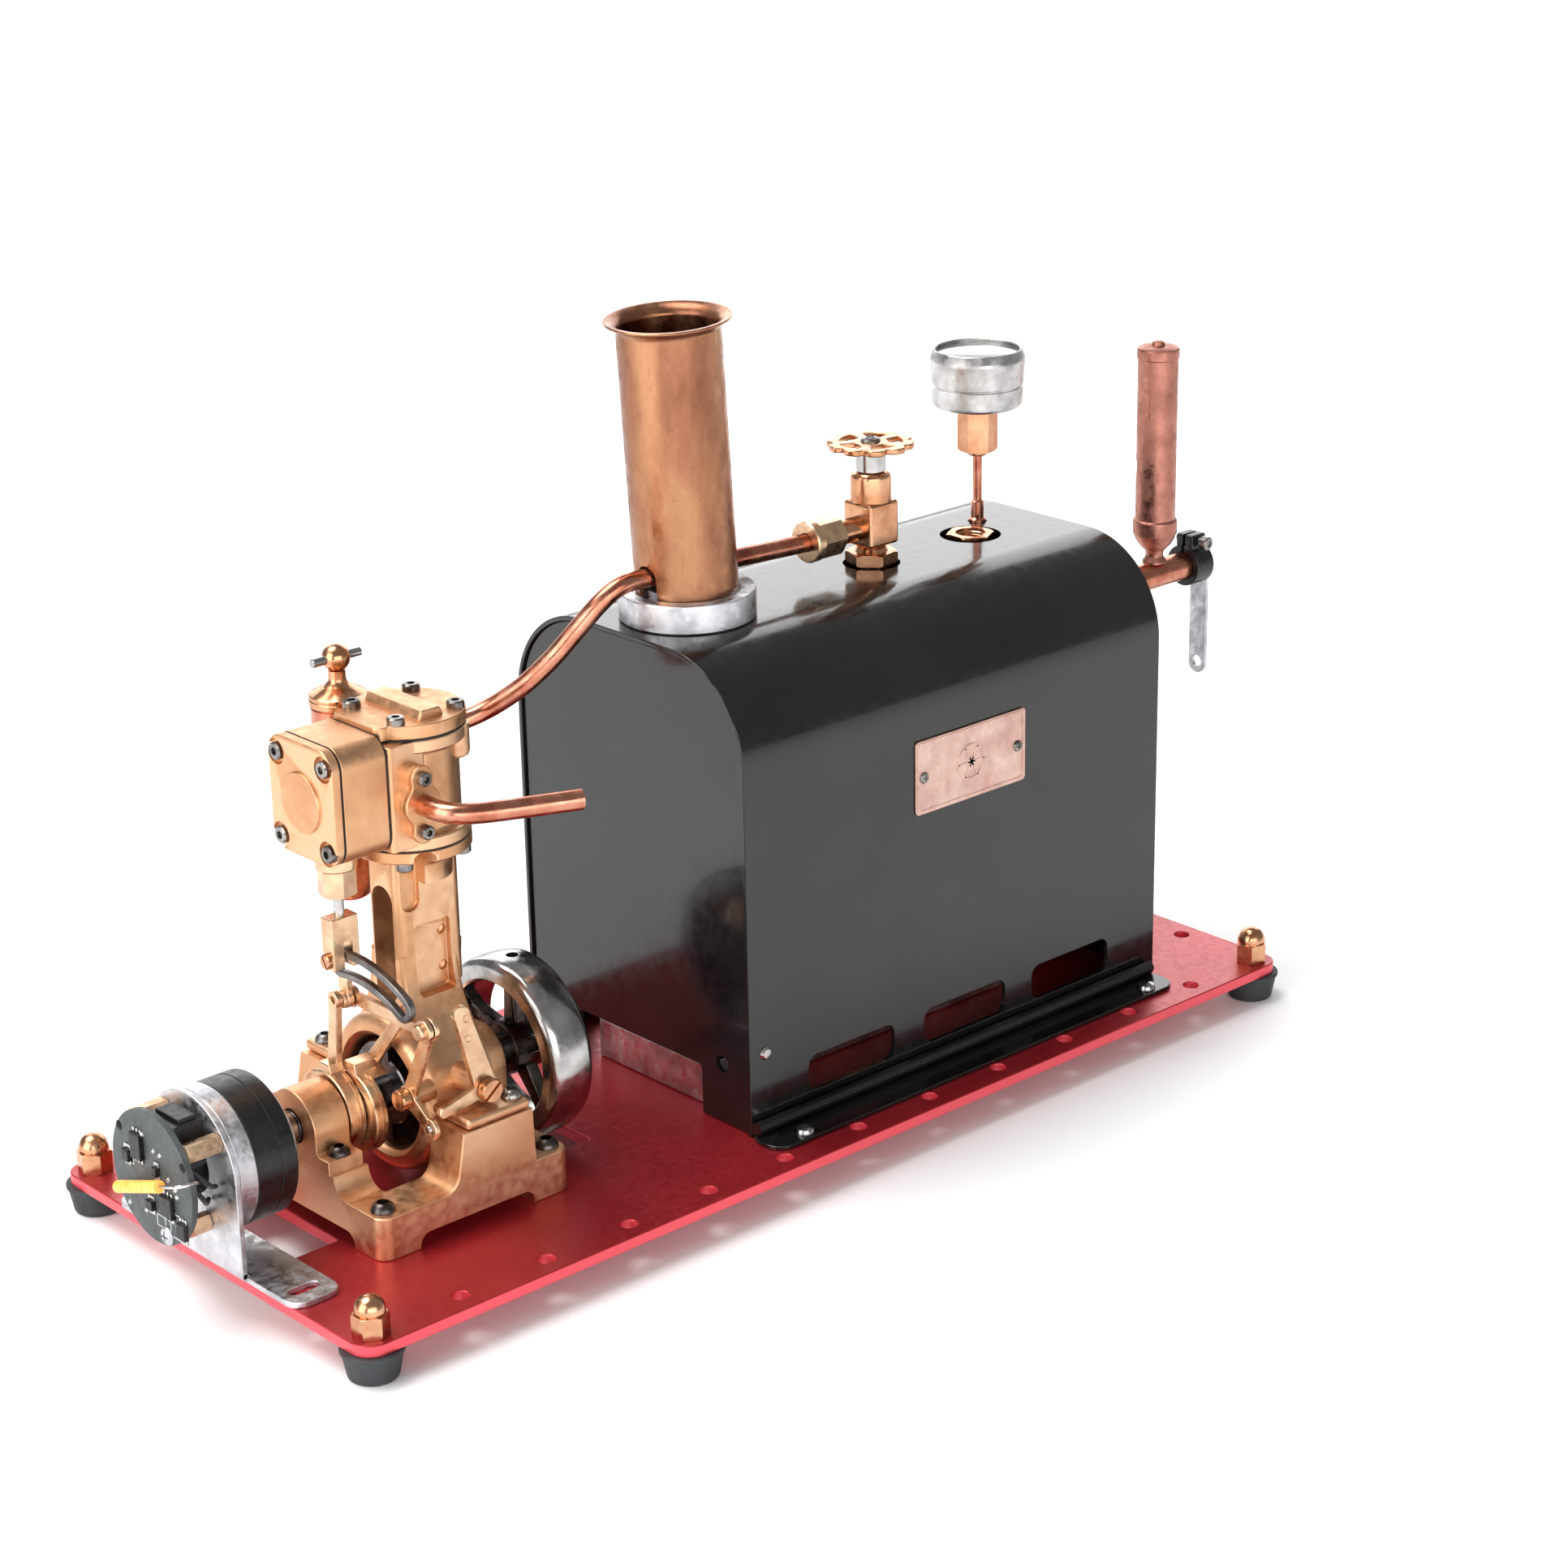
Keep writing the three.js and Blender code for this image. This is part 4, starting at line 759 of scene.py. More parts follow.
def inside_casing():
    low, high = span("boiler_drum")
    r = (high.y - low.y) / 2
    drum = lathe(
        [(0, low.x), (r - 5, low.x), (r - 1.5, low.x + 1.2), (r, low.x + 4), (r, high.x - 4),
         (r - 1.5, high.x - 1.2), (r - 5, high.x), (0, high.x)],
        "x", (MID_Y, (low.z + high.z) / 2), 72,
    )
    place(drum, "boiler_drum_copper", COPPER, "boiler_drum")
    low, high = span("burner_tray")
    tray = cut(
        block(low.x, high.x, low.y, high.y, low.z, high.z, 0.45),
        block(low.x + 1, high.x - 1, low.y + 1, high.y - 1, low.z + 1, high.z + 3, 0.4),
    )
    place(tray, "burner_tray_pressed", SATIN_STEEL, "burner_tray")


def chimney():
    base = CASE_TOP
    collar = lathe(
        [(16.7, base), (17.2, base + 0.4), (17.2, base + 6.7), (16.9, base + 7.25),
         (16.4, base + 7.4), (13.9, base + 7.4), (13.5, base + 7.1), (13.5, base + 6.4),
         (11, base + 6.4), (11, base + 8.2), (9.5, base + 8.2), (9.5, base)],
        "z", CHIMNEY_AT, 96, True,
    )
    place(collar, "chimney_collar_turned", ALUMINIUM, "chimney_collar")
    foot = 129.1
    top = 197.8 - foot
    stack = lathe(
        [(12.9, 0), (12.9, top - 3), (13.1, top - 2.2), (13.9, top - 1.3), (15.2, top - 0.75),
         (15.65, top - 0.5), (15.7, top - 0.2), (15.5, top), (14.6, top), (13.2, top - 0.8),
         (12.3, top - 1.9), (12, top - 3), (12, 0)],
        "z", (0, 0), 96, True,
    )
    notch = prism([round_rect(-3.3, 3.3, -6, 8.8, 3.25, 10)], "x", -20, 20, 0.02, 1)
    stack = cut(stack, notch)
    lean = Matrix.Rotation(math.radians(-3.2), 4, "Y")
    stack.data.transform(Matrix.Translation((*CHIMNEY_AT, foot)) @ lean)
    place(stack, "chimney_stack", CHIMNEY, "chimney", sharp=40)


# ---------------------------------------------------------------- boiler fittings


def handwheel_outline(centre, count=150):
    points = []
    for i in range(count):
        a = TAU * i / count
        wave = 0.5 - 0.5 * math.cos(10 * a)
        r = 11.3 - 1.5 * (1 - wave) ** 3
        points.append((centre[0] + r * math.cos(a), centre[1] + r * math.sin(a)))
    return points


def window(centre, angle, spread_angle, inner, outer):
    """A kidney-shaped window in a wheel."""
    a0, a1 = angle - spread_angle, angle + spread_angle
    return arc(centre, outer, a0, a1, 10) + arc(centre, inner, a1 - 3, a0 + 3, 8)


def steam_valve():
    x, y = VALVE_AT
    body = join(
        block(x - 5.15, x + 5.15, y - 5.15, y + 5.15, 127.2, 138.8, 0.9),
        lathe([(0, 124.5), (5, 124.5), (4.2, 125.4), (3.8, 126.2), (4.2, 127), (5, 127.6), (0, 128)],
              "z", VALVE_AT, 48),
        lathe([(0, 138), (4.9, 138), (5.3, 138.8), (5.3, 145), (4.9, 145.8), (4.2, 146.3), (0, 146.3)],
              "z", VALVE_AT, 56),
        lathe([(0, 198), (3.2, 198), (3.2, x - 4), (0, x - 4)], "x", (y, 132), 40),
    )
    bush = hexagon("z", VALVE_AT, 6.9, CASE_TOP + 0.2, 125.2, 12, 0.7)
    shank = cylinder("z", VALVE_AT, 5, 107, 122.4)
    place(gather(soften(body, 0.25, 2, 45), bush, shank), "steam_valve_body_machined", BRASS,
          "steam_valve_body")
    holes = [window(VALVE_AT, 72 * i + 36, 24, 4.6, 8.3) for i in range(5)]
    wheel = prism([handwheel_outline(VALVE_AT)] + holes, "z", 152.8, 154.3, 0.35, 3)
    place(wheel, "steam_valve_handwheel_rim", BRASS, "steam_valve_handwheel")
    stem = lathe([(0, 146.4), (3.5, 146.4), (3.9, 146.8), (3.9, 151.6), (3.4, 152.2), (3, 152.9),
                  (0, 152.9)], "z", VALVE_AT, 48)
    place(stem, "steam_valve_stem", STEEL, like="steam_valve_handwheel")
    place(crossed_screw("z", VALVE_AT, 154.2, 1, 2.6, 1.3), "steam_valve_wheel_screw", SCREW_STEEL,
          like="steam_valve_handwheel")
    nut = hexagon("x", (y, 132), 5.2, 190, 198, 0, 0.6)
    ring = lathe([(2.5, 187.4), (5.1, 187.4), (5.4, 187.8), (5.4, 189.9), (5.1, 190.3), (2.5, 190.3)],
                 "x", (y, 132), 56, True)
    place(gather(nut, ring), "steam_union_nut_hex", SATIN_BRASS, "steam_union_nut")


OILER_AT = (56.2, 78.5)


def steam_pipe():
    route = [
        (197.8, MID_Y, 132), (186, MID_Y, 132), (164, MID_Y, 133), (147, MID_Y, 133.3),
        (133.5, MID_Y, 134.2), (126.5, 57.2, 133.9), (121, 58.6, 130.6), (115.5, 61.3, 124.3),
        (110, 64.6, 117.4), (104.6, 68.2, 111.6), (100.4, 72.5, 107.2), (96, 76.2, 104),
        (90, 78.2, 102.4), (80, OILER_AT[1], 101.6), (63.1, OILER_AT[1], 101.2),
    ]
    place(tube(route, 2.4, 8, 32), "steam_pipe_bent", COPPER, "steam_pipe")
    nut = hexagon("x", (OILER_AT[1], 101.2), 4.2, 63.1, 68, 15, 0.5)
    place(nut, "steam_pipe_nut", SATIN_BRASS, like="steam_pipe")


def filler_and_gauge():
    bush = cut(
        join(hexagon("z", FILLER_AT, 6.6, 117, 122.4, 28, 0.6),
             cylinder("z", FILLER_AT, 5, 106, 118)),
        cylinder("z", FILLER_AT, 4, 100, 130, 0.02),
    )
    threads = [
        lathe([(4.05, z), (3.72, z + 0.28), (4.05, z + 0.56)], "z", FILLER_AT, 40, True)
        for z in (117.6 + 0.7 * i for i in range(6))
    ]
    place(gather(bush, *threads), "filler_bush_threaded", BRASS, "filler_bush")

    x, y = GAUGE_AT
    siphon = cylinder("z", GAUGE_AT, 1.2, 107, 142, 0.1, 28)
    ferrule = lathe([(0, 119.8), (2.25, 119.8), (2.25, 122.5), (1.7, 123), (1.7, 127.4),
                     (1.3, 127.7), (0, 127.7)], "z", GAUGE_AT, 32)
    place(gather(siphon, ferrule), "gauge_siphon_drawn", COPPER, "gauge_siphon_pipe")
    nut = gather(
        hexagon("z", GAUGE_AT, 5.35, 141.6, 152.8, 17, 0.6),
        lathe([(0, 152.4), (3.4, 152.4), (3.4, 153.8), (0, 153.8)], "z", GAUGE_AT, 40),
        lathe([(1.3, 140.4), (2.6, 140.4), (3, 140.8), (3, 141.9), (1.3, 141.9)], "z", GAUGE_AT, 40, True),
    )
    place(nut, "gauge_nut_hex", BRASS, "gauge_nut")
    case = lathe(
        [(0, 153.8), (10.4, 153.8), (11.3, 154.1), (11.9, 154.7), (12.1, 155.6), (12.1, 159.5),
         (11.8, 159.75), (11.85, 160.1), (12.2, 160.3), (12.35, 163), (12.65, 166.3), (12.7, 166.9),
         (12.45, 167.6), (11.8, 169.1), (11.4, 169.4), (11.2, 169.2), (11.2, 167.45),
         (10.8, 167.4), (10.8, 163), (0, 163)],
        "z", GAUGE_AT, 96,
    )
    place(case, "gauge_case_chromed", SATIN_STEEL, "gauge_case")
    glass = lathe([(0, 167.4), (10.9, 167.4), (11, 167.5), (11, 168.2), (10.6, 168.4), (0, 168.6)],
                  "z", GAUGE_AT, 72)
    place(glass, "gauge_glass_disc", GLASS, "gauge_glass")
    dial = lathe([(0, 163), (10.7, 163), (10.7, 163.35), (0, 163.35)], "z", GAUGE_AT, 72)
    place(dial, "gauge_dial", DIAL, like="gauge_case")
    ticks = []
    for i in range(31):
        a = math.radians(-45 - 9 * i + 270)
        reach = 7.6 if i % 5 == 0 else 8.5
        start = (x + reach * math.cos(a), y + reach * math.sin(a))
        end = (x + 9.6 * math.cos(a), y + 9.6 * math.sin(a))
        half = 0.2 if i % 5 == 0 else 0.09
        ticks.append(prism([bar_outline(start, end, half, half, half * 1.05, half * 1.05, 3)],
                           "z", 163.3, 163.5, 0.02, 1))
    place(gather(*ticks), "gauge_dial_marks", INK, like="gauge_case")
    needle = gather(
        lathe([(0, 163.6), (0.6, 163.6), (0.6, 164.3), (1.5, 164.4), (1.5, 164.9), (1.1, 165.2),
               (0, 165.2)], "z", GAUGE_AT, 32),
        prism([bar_outline((x + 1.6, y + 1.6), (x - 6.4, y - 6.4), 0.5, 0.16, 0.6, 0.2, 8)],
              "z", 164.5, 164.9, 0.05, 1),
    )
    place(needle, "gauge_needle_red", RED_MARK, "gauge_needle")


def whistle():
    x = 321
    at = (MID_Y, STEAM_Z)
    pipe = lathe([(0, 266), (3.7, 266), (3.95, 266.3), (3.95, 339.6), (3.6, 340), (0, 340)],
                 "x", at, 56)
    place(pipe, "whistle_pipe_copper", COPPER, "whistle_pipe")
    bell = cut(
        lathe(
            [(0, 98.3), (3.4, 98.3), (3.3, 99), (2.6, 99.9), (2.4, 100.8), (2.7, 101.9),
             (3.6, 102.8), (4.6, 103.9), (5.5, 105.4), (5.9, 106.6), (6.2, 107.1), (6.2, 110.5),
             (6, 110.9), (5.6, 111.2), (5.6, 156.9), (5.9, 157.2), (5.9, 159.5), (5.6, 160),
             (4.6, 160.4), (2, 160.6), (1.8, 161), (1.7, 161.5), (1.2, 161.8), (0, 161.8)],
            "z", (x, MID_Y), 64,
        ),
        cylinder("z", (x, MID_Y), 4.8, 112.5, 156, 0.02),
        block(x - 8, x + 8, MID_Y + 3, MID_Y + 8, 124, 128, 0.1),
    )
    place(bell, "whistle_tube_turned", WHISTLE_BRASS, "whistle_tube")
    clamp = join(
        cylinder("x", at, 5.9, 333, 340.05, 0.35, 56),
        block(333.5, 339.5, MID_Y - 3, MID_Y + 3, STEAM_Z + 4, 103.6, 0.6),
    )
    clamp = cut(
        clamp,
        cylinder("x", at, 4.15, 330, 339.9, 0.02),
        block(330, 345, MID_Y - 0.5, MID_Y + 0.5, STEAM_Z + 3.5, 110, 0.05),
    )
    place(clamp, "whistle_lever_clamp", CAN_BLACK, like="whistle_lever")
    bolt = gather(
        lathe([(0, 50.5), (1.9, 50.5), (1.9, 52.5), (1.2, 52.7), (1.2, 61.5), (0, 61.5)],
              "y", (336.5, 101.6), 28),
        socket_screw("y", (336.5, 101.6), 52.2, -1, 1.9, 2.0),
    )
    place(bolt, "whistle_clamp_screw", SCREW_STEEL, like="whistle_lever")
    strip = prism(
        [round_rect(MID_Y - 3, MID_Y + 3, 61, STEAM_Z + 5.5, 2.9, 10), circle((MID_Y, 64.5), 1.6, 24)],
        "x", 340.05, 341.2, 0.2,
    )
    place(strip, "whistle_lever_strip", ALUMINIUM, "whistle_lever")


# ---------------------------------------------------------------- engine bed and column

PIT = (31, 67, 36, 78)


def engine_bed():
    low, high = span("engine_bed")
    bed = prism([round_rect(low.x, high.x, low.y, high.y, 3.5, 8)], "z", 0, 11, 0.4)
    parts = [
        block(low.x, PIT[0], MID_Y - 15, MID_Y + 15, 5, 16, 0.5),
        block(PIT[1] - 0.5, high.x, MID_Y - 15, MID_Y + 15, 5, 15, 0.5),
    ]
    raised = (
        [(39.4, 10)]
        + arc((39.6, 15.6), 4.6, -88, -14, 8)
        + [(46, 24.8), (66.6, 24.8), (67, 13.6), (67.3, 10)]
    )
    for y in (low.y, PIT[3]):
        parts.append(prism([raised], "y", y + 0.02, y + 12, 0.4))
    # Hollow fillets where the bearing pedestals rise from the rails.
    for x0, x1, seat in ((low.x, PIT[0], 16), (PIT[1] - 0.5, high.x, 15)):
        hollow = seat - 11
        for side in (-1, 1):
            foot = MID_Y + side * (15 + hollow)
            inner = MID_Y + side * 14
            sweep = arc((foot, seat), hollow, 270, 180 if side > 0 else 360, 8)
            fillet = [(foot, 10.5)] + sweep + [(inner, seat), (inner, 10.5)]
            parts.append(prism([fillet], "x", x0, x1, 0.05, 1))
    bed = join(bed, *parts)
    bed = cut(
        bed,
        block(PIT[0], PIT[1], PIT[2], PIT[3], -3, 40, 0.8),
        prism([round_rect(32, 66, -6, 3.8, 3, 8)], "y", low.y - 2, high.y + 2, 0.02, 1),
        prism([round_rect(35, 79, -6, 3.8, 3, 8)], "x", low.x - 2, PIT[0] + 1, 0.02, 1),
    )
    place(soften(bed, 0.35, 3, 40), "engine_bed_cast", BRONZE, "engine_bed")
    spots = [(25.2, 28.8), (73.6, 28.6), (25.2, 85.2), (73.6, 85.2)]
    screws = [socket_screw("z", spot, 11, 1, 3.0, 2.1, True) for spot in spots]
    place(gather(*screws), "engine_bed_screws", DARK_STEEL, like="engine_bed")


def cap_outline(seat, half, r):
    return (
        [(MID_Y - half, seat), (MID_Y + half, seat), (MID_Y + half, seat + 3.5),
         (MID_Y + r + 0.6, seat + 3.5), (MID_Y + r, seat + 4.1), (MID_Y + r, CRANK_Z)]
        + arc(CRANK, r, 4, 176, 28)
        + [(MID_Y - r, CRANK_Z), (MID_Y - r, seat + 4.1), (MID_Y - r - 0.6, seat + 3.5),
           (MID_Y - half, seat + 3.5)]
    )


def bearings():
    for node, half in (("bearing_cap_left", 14), ("bearing_cap_right", 13)):
        low, high = span(node)
        cap = prism([cap_outline(low.z, half, 9.2), circle(CRANK, 4.2, 48)], "x", low.x, high.x, 0.4, 3)
        place(cap, node + "_cast", BRONZE, node)
        middle = (low.x + high.x) / 2
        screws = [
            socket_screw("z", (middle, MID_Y + side * (half - 2.6)), low.z + 3.5, 1, 2.7, 2.1, True)
            for side in (-1, 1)
        ]
        place(gather(*screws), node + "_screws", DARK_STEEL, like=node)


BELL_PIVOT = (39, 30.9)
LEVER_PIVOT = (56.9, 31.6)
COLUMN_TOP = 88.0


def engine_column():
    drum_r = 20
    drum = lathe(
        [(0, 46), (16.2, 46), (17.6, 46.25), (18.8, 46.9), (19.6, 47.8), (drum_r, 49.2),
         (drum_r, 65), (19.6, 66.2), (18.6, 66.8), (0, 66.8)],
        "x", CRANK, 96,
    )
    flare = (
        [(MID_Y - 15.5, 36.5)]
        + [(MID_Y - 6.2 - 9.3 * (1 - t) ** 2.2, 36.5 + 23.5 * t) for t in (0.1 * i for i in range(1, 11))]
        + [(MID_Y + 6.2 + 9.3 * (1 - t) ** 2.2, 36.5 + 23.5 * t) for t in (1 - 0.1 * i for i in range(10))]
        + [(MID_Y + 15.5, 36.5)]
    )
    back = [(60, 40), (66.8, 40), (67.3, 46), (68.4, 54), (69, 60), (60, 60)]
    top = lathe(
        [(0, 78), (9.4, 78), (9.6, 82.5), (10.4, 83.8), (12, 84.7), (14, 85), (14.4, 85.4),
         (14.4, 87.8), (14.2, COLUMN_TOP), (0, COLUMN_TOP)],
        "z", (ENGINE_X, MID_Y), 80,
    )
    column = join(
        drum,
        prism([round_rect(50, 69, MID_Y - 6.2, MID_Y + 6.2, 2.5, 8)], "z", 50, 86, 0.1),
        prism([flare], "x", 50, 66.7, 0.9, 3),
        prism([back], "y", MID_Y - 5.6, MID_Y + 5.6, 0.9, 3),
        top,
        block(47.5, 66, 24.1, MID_Y - 15, 25, 27.6, 0.9),
        block(47.5, 66, MID_Y + 15, 89.9, 25, 27.6, 0.9),
        cylinder("x", BELL_PIVOT, 2.6, 42.6, 48, 0.1),
        cylinder("x", BELL_PIVOT, 1.6, 40, 47, 0.1),
        cylinder("y", LEVER_PIVOT, 3.2, 30.6, 42, 0.1),
        cylinder("y", LEVER_PIVOT, 2.2, 28, 41, 0.1),
    )
    swing = [(MID_Y - 8.5, 34), (MID_Y + 8.5, 34), (MID_Y + 3.5, 54), (MID_Y - 3.5, 54)]
    column = cut(
        column,
        lathe([(0, 40), (15.8, 40), (15.8, 46), (14.8, 46.9), (14.4, 47.8), (14.4, 65.2), (0, 65.2)],
              "x", CRANK, 80),
        cylinder("x", CRANK, 4.3, 60, 70, 0.02),
        cylinder("z", (ENGINE_X, MID_Y), 4.3, 30, 82, 0.02),
        cylinder("z", (ENGINE_X, MID_Y), 1.8, 80, 90, 0.02),
        prism([swing], "x", 57.2, 61.8, 0.02, 1),
        prism([round_rect(MID_Y - 4, MID_Y + 4, 47, 76.8, 3.9, 12)], "x", 45, ENGINE_X, 0.02, 1),
        prism([round_rect(54.2, 64.8, 49, 67, 1.2, 5)], "y", 40, MID_Y - 4.7, 0.35, 3),
        prism([round_rect(51.2, 56.4, 71, 88, 2.4, 8)], "y", 40, MID_Y - 5.0, 0.3, 3),
        *[
            lathe([(0, 50), (1.3, 50), (1.3, MID_Y - 3.6), (0, MID_Y - 3.1)], "y", (63.3, z), 24)
            for z in (63.5, 54.2)
        ],
    )
    place(soften(column, 0.4, 3, 42), "engine_column_cast", BRONZE, "engine_column")

    spots = [(63.6, 28.4), (63.6, MID_Y * 2 - 28.4), (50.6, MID_Y * 2 - 28.4)]
    screws = [socket_screw("z", spot, 27.6, 1, 2.6, 2.0, True) for spot in spots]
    for side_x in (-1, 1):
        for side_y in (-1, 1):
            spot = (ENGINE_X + side_x * 8.5, MID_Y + side_y * 8.5)
            screws.append(socket_screw("z", spot, 85.1, -1, 2.1, 2.2))
    place(gather(*screws), "engine_column_screws", SCREW_STEEL, like="engine_column")
    knob = lathe(
        along(40.9, -1, [(0, 0), (2.4, 0), (2.65, 0.25), (2.65, 2.1), (2.4, 2.55), (1.6, 2.7), (0, 2.7)]),
        "x", BELL_PIVOT, 48)
    place(knob, "bell_crank_pivot_head", BRASS, like="engine_column")
    big = slotted_screw("y", LEVER_PIVOT, 28.4, -1, 3.0, 2.1, 38, 0.75)
    place(big, "reversing_lever_pivot_screw", BRASS, like="engine_column")


# ---------------------------------------------------------------- cylinder and chest

CYL_AT = (ENGINE_X, MID_Y)
CYL_TOP = 115.7
VALVE_ROD = (37.7, MID_Y)
CHEST_X = 45.0
CHEST_HALF = 12.5
BAND_R = 14.4
PORT = (52, 101)
EAR = 6.55
COVER_SCREW = 8.6
COVER_TOP = CYL_TOP + 3.5


def four_corners(centre, reach):
    return [(centre[0] + su * reach, centre[1] + sv * reach) for su in (-1, 1) for sv in (-1, 1)]


def grown(outline, centre, amount):
    """An outline moved outwards from a centre."""
    made_points = []
    for u, v in outline:
        away = Vector((u - centre[0], v - centre[1]))
        away *= 1 + amount / away.length
        made_points.append((centre[0] + away.x, centre[1] + away.y))
    return made_points


def cylinder_group():
    base = COLUMN_TOP + 0.3
    top = CYL_TOP - 0.3
    barrel = lathe(
        [(0, base), (14.2, base), (BAND_R, base + 0.3), (BAND_R, 91), (14.1, 91.4), (13, 91.6),
         (12.5, 92.1), (12.3, 92.8), (12.3, 110.8), (12.5, 111.5), (13, 112), (14.1, 112.2),
         (BAND_R, 112.6), (BAND_R, top - 0.3), (14.2, top), (0, top)],
        "z", CYL_AT, 96,
    )
    lugs = [
        lathe([(0, 107), (1.6, 107), (2.5, 107.6), (2.9, 108.6), (2.9, top), (0, top)], "z", spot, 32)
        for spot in four_corners(CYL_AT, COVER_SCREW)
    ]
    body = join(
        barrel,
        prism([round_rect(CHEST_X + 0.3, 56, MID_Y - CHEST_HALF, MID_Y + CHEST_HALF, 1.2, 5)],
              "z", 89.5, top, 0.3),
        lathe([(0, ENGINE_X + 10), (3.2, ENGINE_X + 10), (3, ENGINE_X + 13), (2.6, ENGINE_X + 13.4),
               (0, ENGINE_X + 13.4)], "x", (MID_Y, 102), 32),
        prism([flange_outline(*PORT, 0.2)], "y", MID_Y - 14.4, MID_Y - CHEST_HALF + 0.5, 0.3),
        prism([flange_outline(*PORT, 0.2)], "y", MID_Y + CHEST_HALF - 0.5, MID_Y + 14.4, 0.3),
        *lugs,
    )
    body = cut(body, cylinder("z", CYL_AT, 9.5, 91, CYL_TOP + 1, 0.02, 56))
    place(soften(body, 0.35, 3, 42), "cylinder_block_cast", BRONZE, "cylinder_block")
    boss = [(ENGINE_X - 3.9, COVER_TOP - 1), (ENGINE_X - 3.5, COVER_TOP + 0.4),
            (ENGINE_X - 2.7, COVER_TOP + 2.1), (ENGINE_X + 2.7, COVER_TOP + 2.1),
            (ENGINE_X + 3.5, COVER_TOP + 0.4), (ENGINE_X + 3.9, COVER_TOP - 1)]
    cover = join(
        cylinder("z", CYL_AT, BAND_R, CYL_TOP + 0.15, COVER_TOP, 0.35, 96),
        prism([round_rect(CHEST_X + 0.1, 54, MID_Y - 9, MID_Y + 9, 2, 5)], "z", CYL_TOP + 0.15,
              COVER_TOP, 0.35),
        prism([boss], "y", MID_Y - 10.7, MID_Y + 10.7, 0.6, 3),
    )
    place(soften(cover, 0.25, 2, 42), "cylinder_cover_cast", BRONZE, "cylinder_cover")
    screws = [
        socket_screw("z", spot, COVER_TOP - 0.1, 1, 2.15, 1.9)
        for spot in four_corners(CYL_AT, COVER_SCREW)
    ]
    place(gather(*screws), "cylinder_cover_screws", SCREW_STEEL, like="cylinder_cover")
    seals = [
        cylinder("z", CYL_AT, BAND_R - 0.05, CYL_TOP - 0.32, CYL_TOP + 0.18, 0.03, 80),
        cylinder("z", CYL_AT, BAND_R - 0.1, COLUMN_TOP - 0.02, COLUMN_TOP + 0.32, 0.03, 80),
    ]
    place(gather(*seals), "cylinder_gaskets", GASKET, like="cylinder_block")

    low, high = span("steam_chest_cover")
    outline = round_rect(MID_Y - CHEST_HALF, MID_Y + CHEST_HALF, 89.5, 118, 5, 10)
    middle = (MID_Y, 103.3)
    chest = cut(
        prism([outline], "x", high.x + 0.2, CHEST_X - 0.3, 0.25),
        block(high.x - 1, CHEST_X + 1, MID_Y - 8.6, MID_Y + 8.6, 94, 113.5, 0.5),
        cylinder("z", VALVE_ROD, 1.4, 85, 100, 0.02),
    )
    place(chest, "steam_chest_cast", BRONZE, "steam_chest")
    face = high.x - 2.8
    spots = [(MID_Y + sy * 9.2, middle[1] + sz * 10.3) for sy in (-1, 1) for sz in (-1, 1)]
    plate = cut(
        prism([outline], "x", face, high.x - 0.1, 0.5, 3),
        *[prism([circle(spot, 3.2, 32)], "x", face - 2, face + 1.1, 0.02, 1) for spot in spots],
    )
    boss = prism([circle(middle, 7.4, 64)], "x", low.x, face + 0.6, 0.25, 3)
    plate = soften(join(plate, boss), 0.3, 3, 42)
    place(plate, "steam_chest_cover_cast", BRONZE, "steam_chest_cover")
    screws = [socket_screw("x", spot, face + 1.1, -1, 2.15, 1.65) for spot in spots]
    place(gather(*screws), "steam_chest_screws", SCREW_STEEL, like="steam_chest_cover")
    seals = [
        prism([grown(outline, middle, -0.05)], "x", high.x - 0.12, high.x + 0.22, 0.03, 1),
        prism([grown(outline, middle, -0.05)], "x", CHEST_X - 0.32, CHEST_X + 0.02, 0.03, 1),
    ]
    place(gather(*seals), "steam_chest_gaskets", GASKET, like="steam_chest")
    gland = gather(
        hexagon("z", VALVE_ROD, 4.6, 78.5, 85.2, 14, 0.5),
        lathe([(1.4, 85.1), (4.7, 85.1), (5, 85.5), (5, 89.6), (1.4, 89.6)], "z", VALVE_ROD, 48, True),
    )
    place(gland, "valve_gland_nut_hex", SATIN_BRASS, "valve_gland_nut")


def flange_outline(x, z, shrink=0.0):
    """Flange with a round ear above and below a round middle, joined by hollow waists."""
    ear_r, middle_r, waist_r = 3.0 - shrink, 4.95 - shrink, 2.4
    # The waist circle touches both the middle and the ear.
    a, b, c = middle_r + waist_r, ear_r + waist_r, EAR
    along_z = (a * a - b * b + c * c) / (2 * c)
    out = math.sqrt(max(0.0, a * a - along_z * along_z))
    to_middle = math.degrees(math.atan2(-along_z, -out))
    to_ear = math.degrees(math.atan2(EAR - along_z, -out)) - 360
    ear_start = math.degrees(math.atan2(along_z - EAR, out))
    side_end = math.degrees(math.atan2(along_z, out))
    right = arc((x, z), middle_r, 0, side_end, 5)
    right += arc((x + out, z + along_z), waist_r, to_middle, to_ear, 5)[1:-1]
    right += arc((x, z + EAR), ear_r, ear_start, 90, 9)
    mirrored = [(2 * x - u, v) for u, v in right[::-1]][1:]
    upper = right + mirrored
    lower = [(u, 2 * z - v) for u, v in upper[::-1]][1:-1]
    return upper + lower


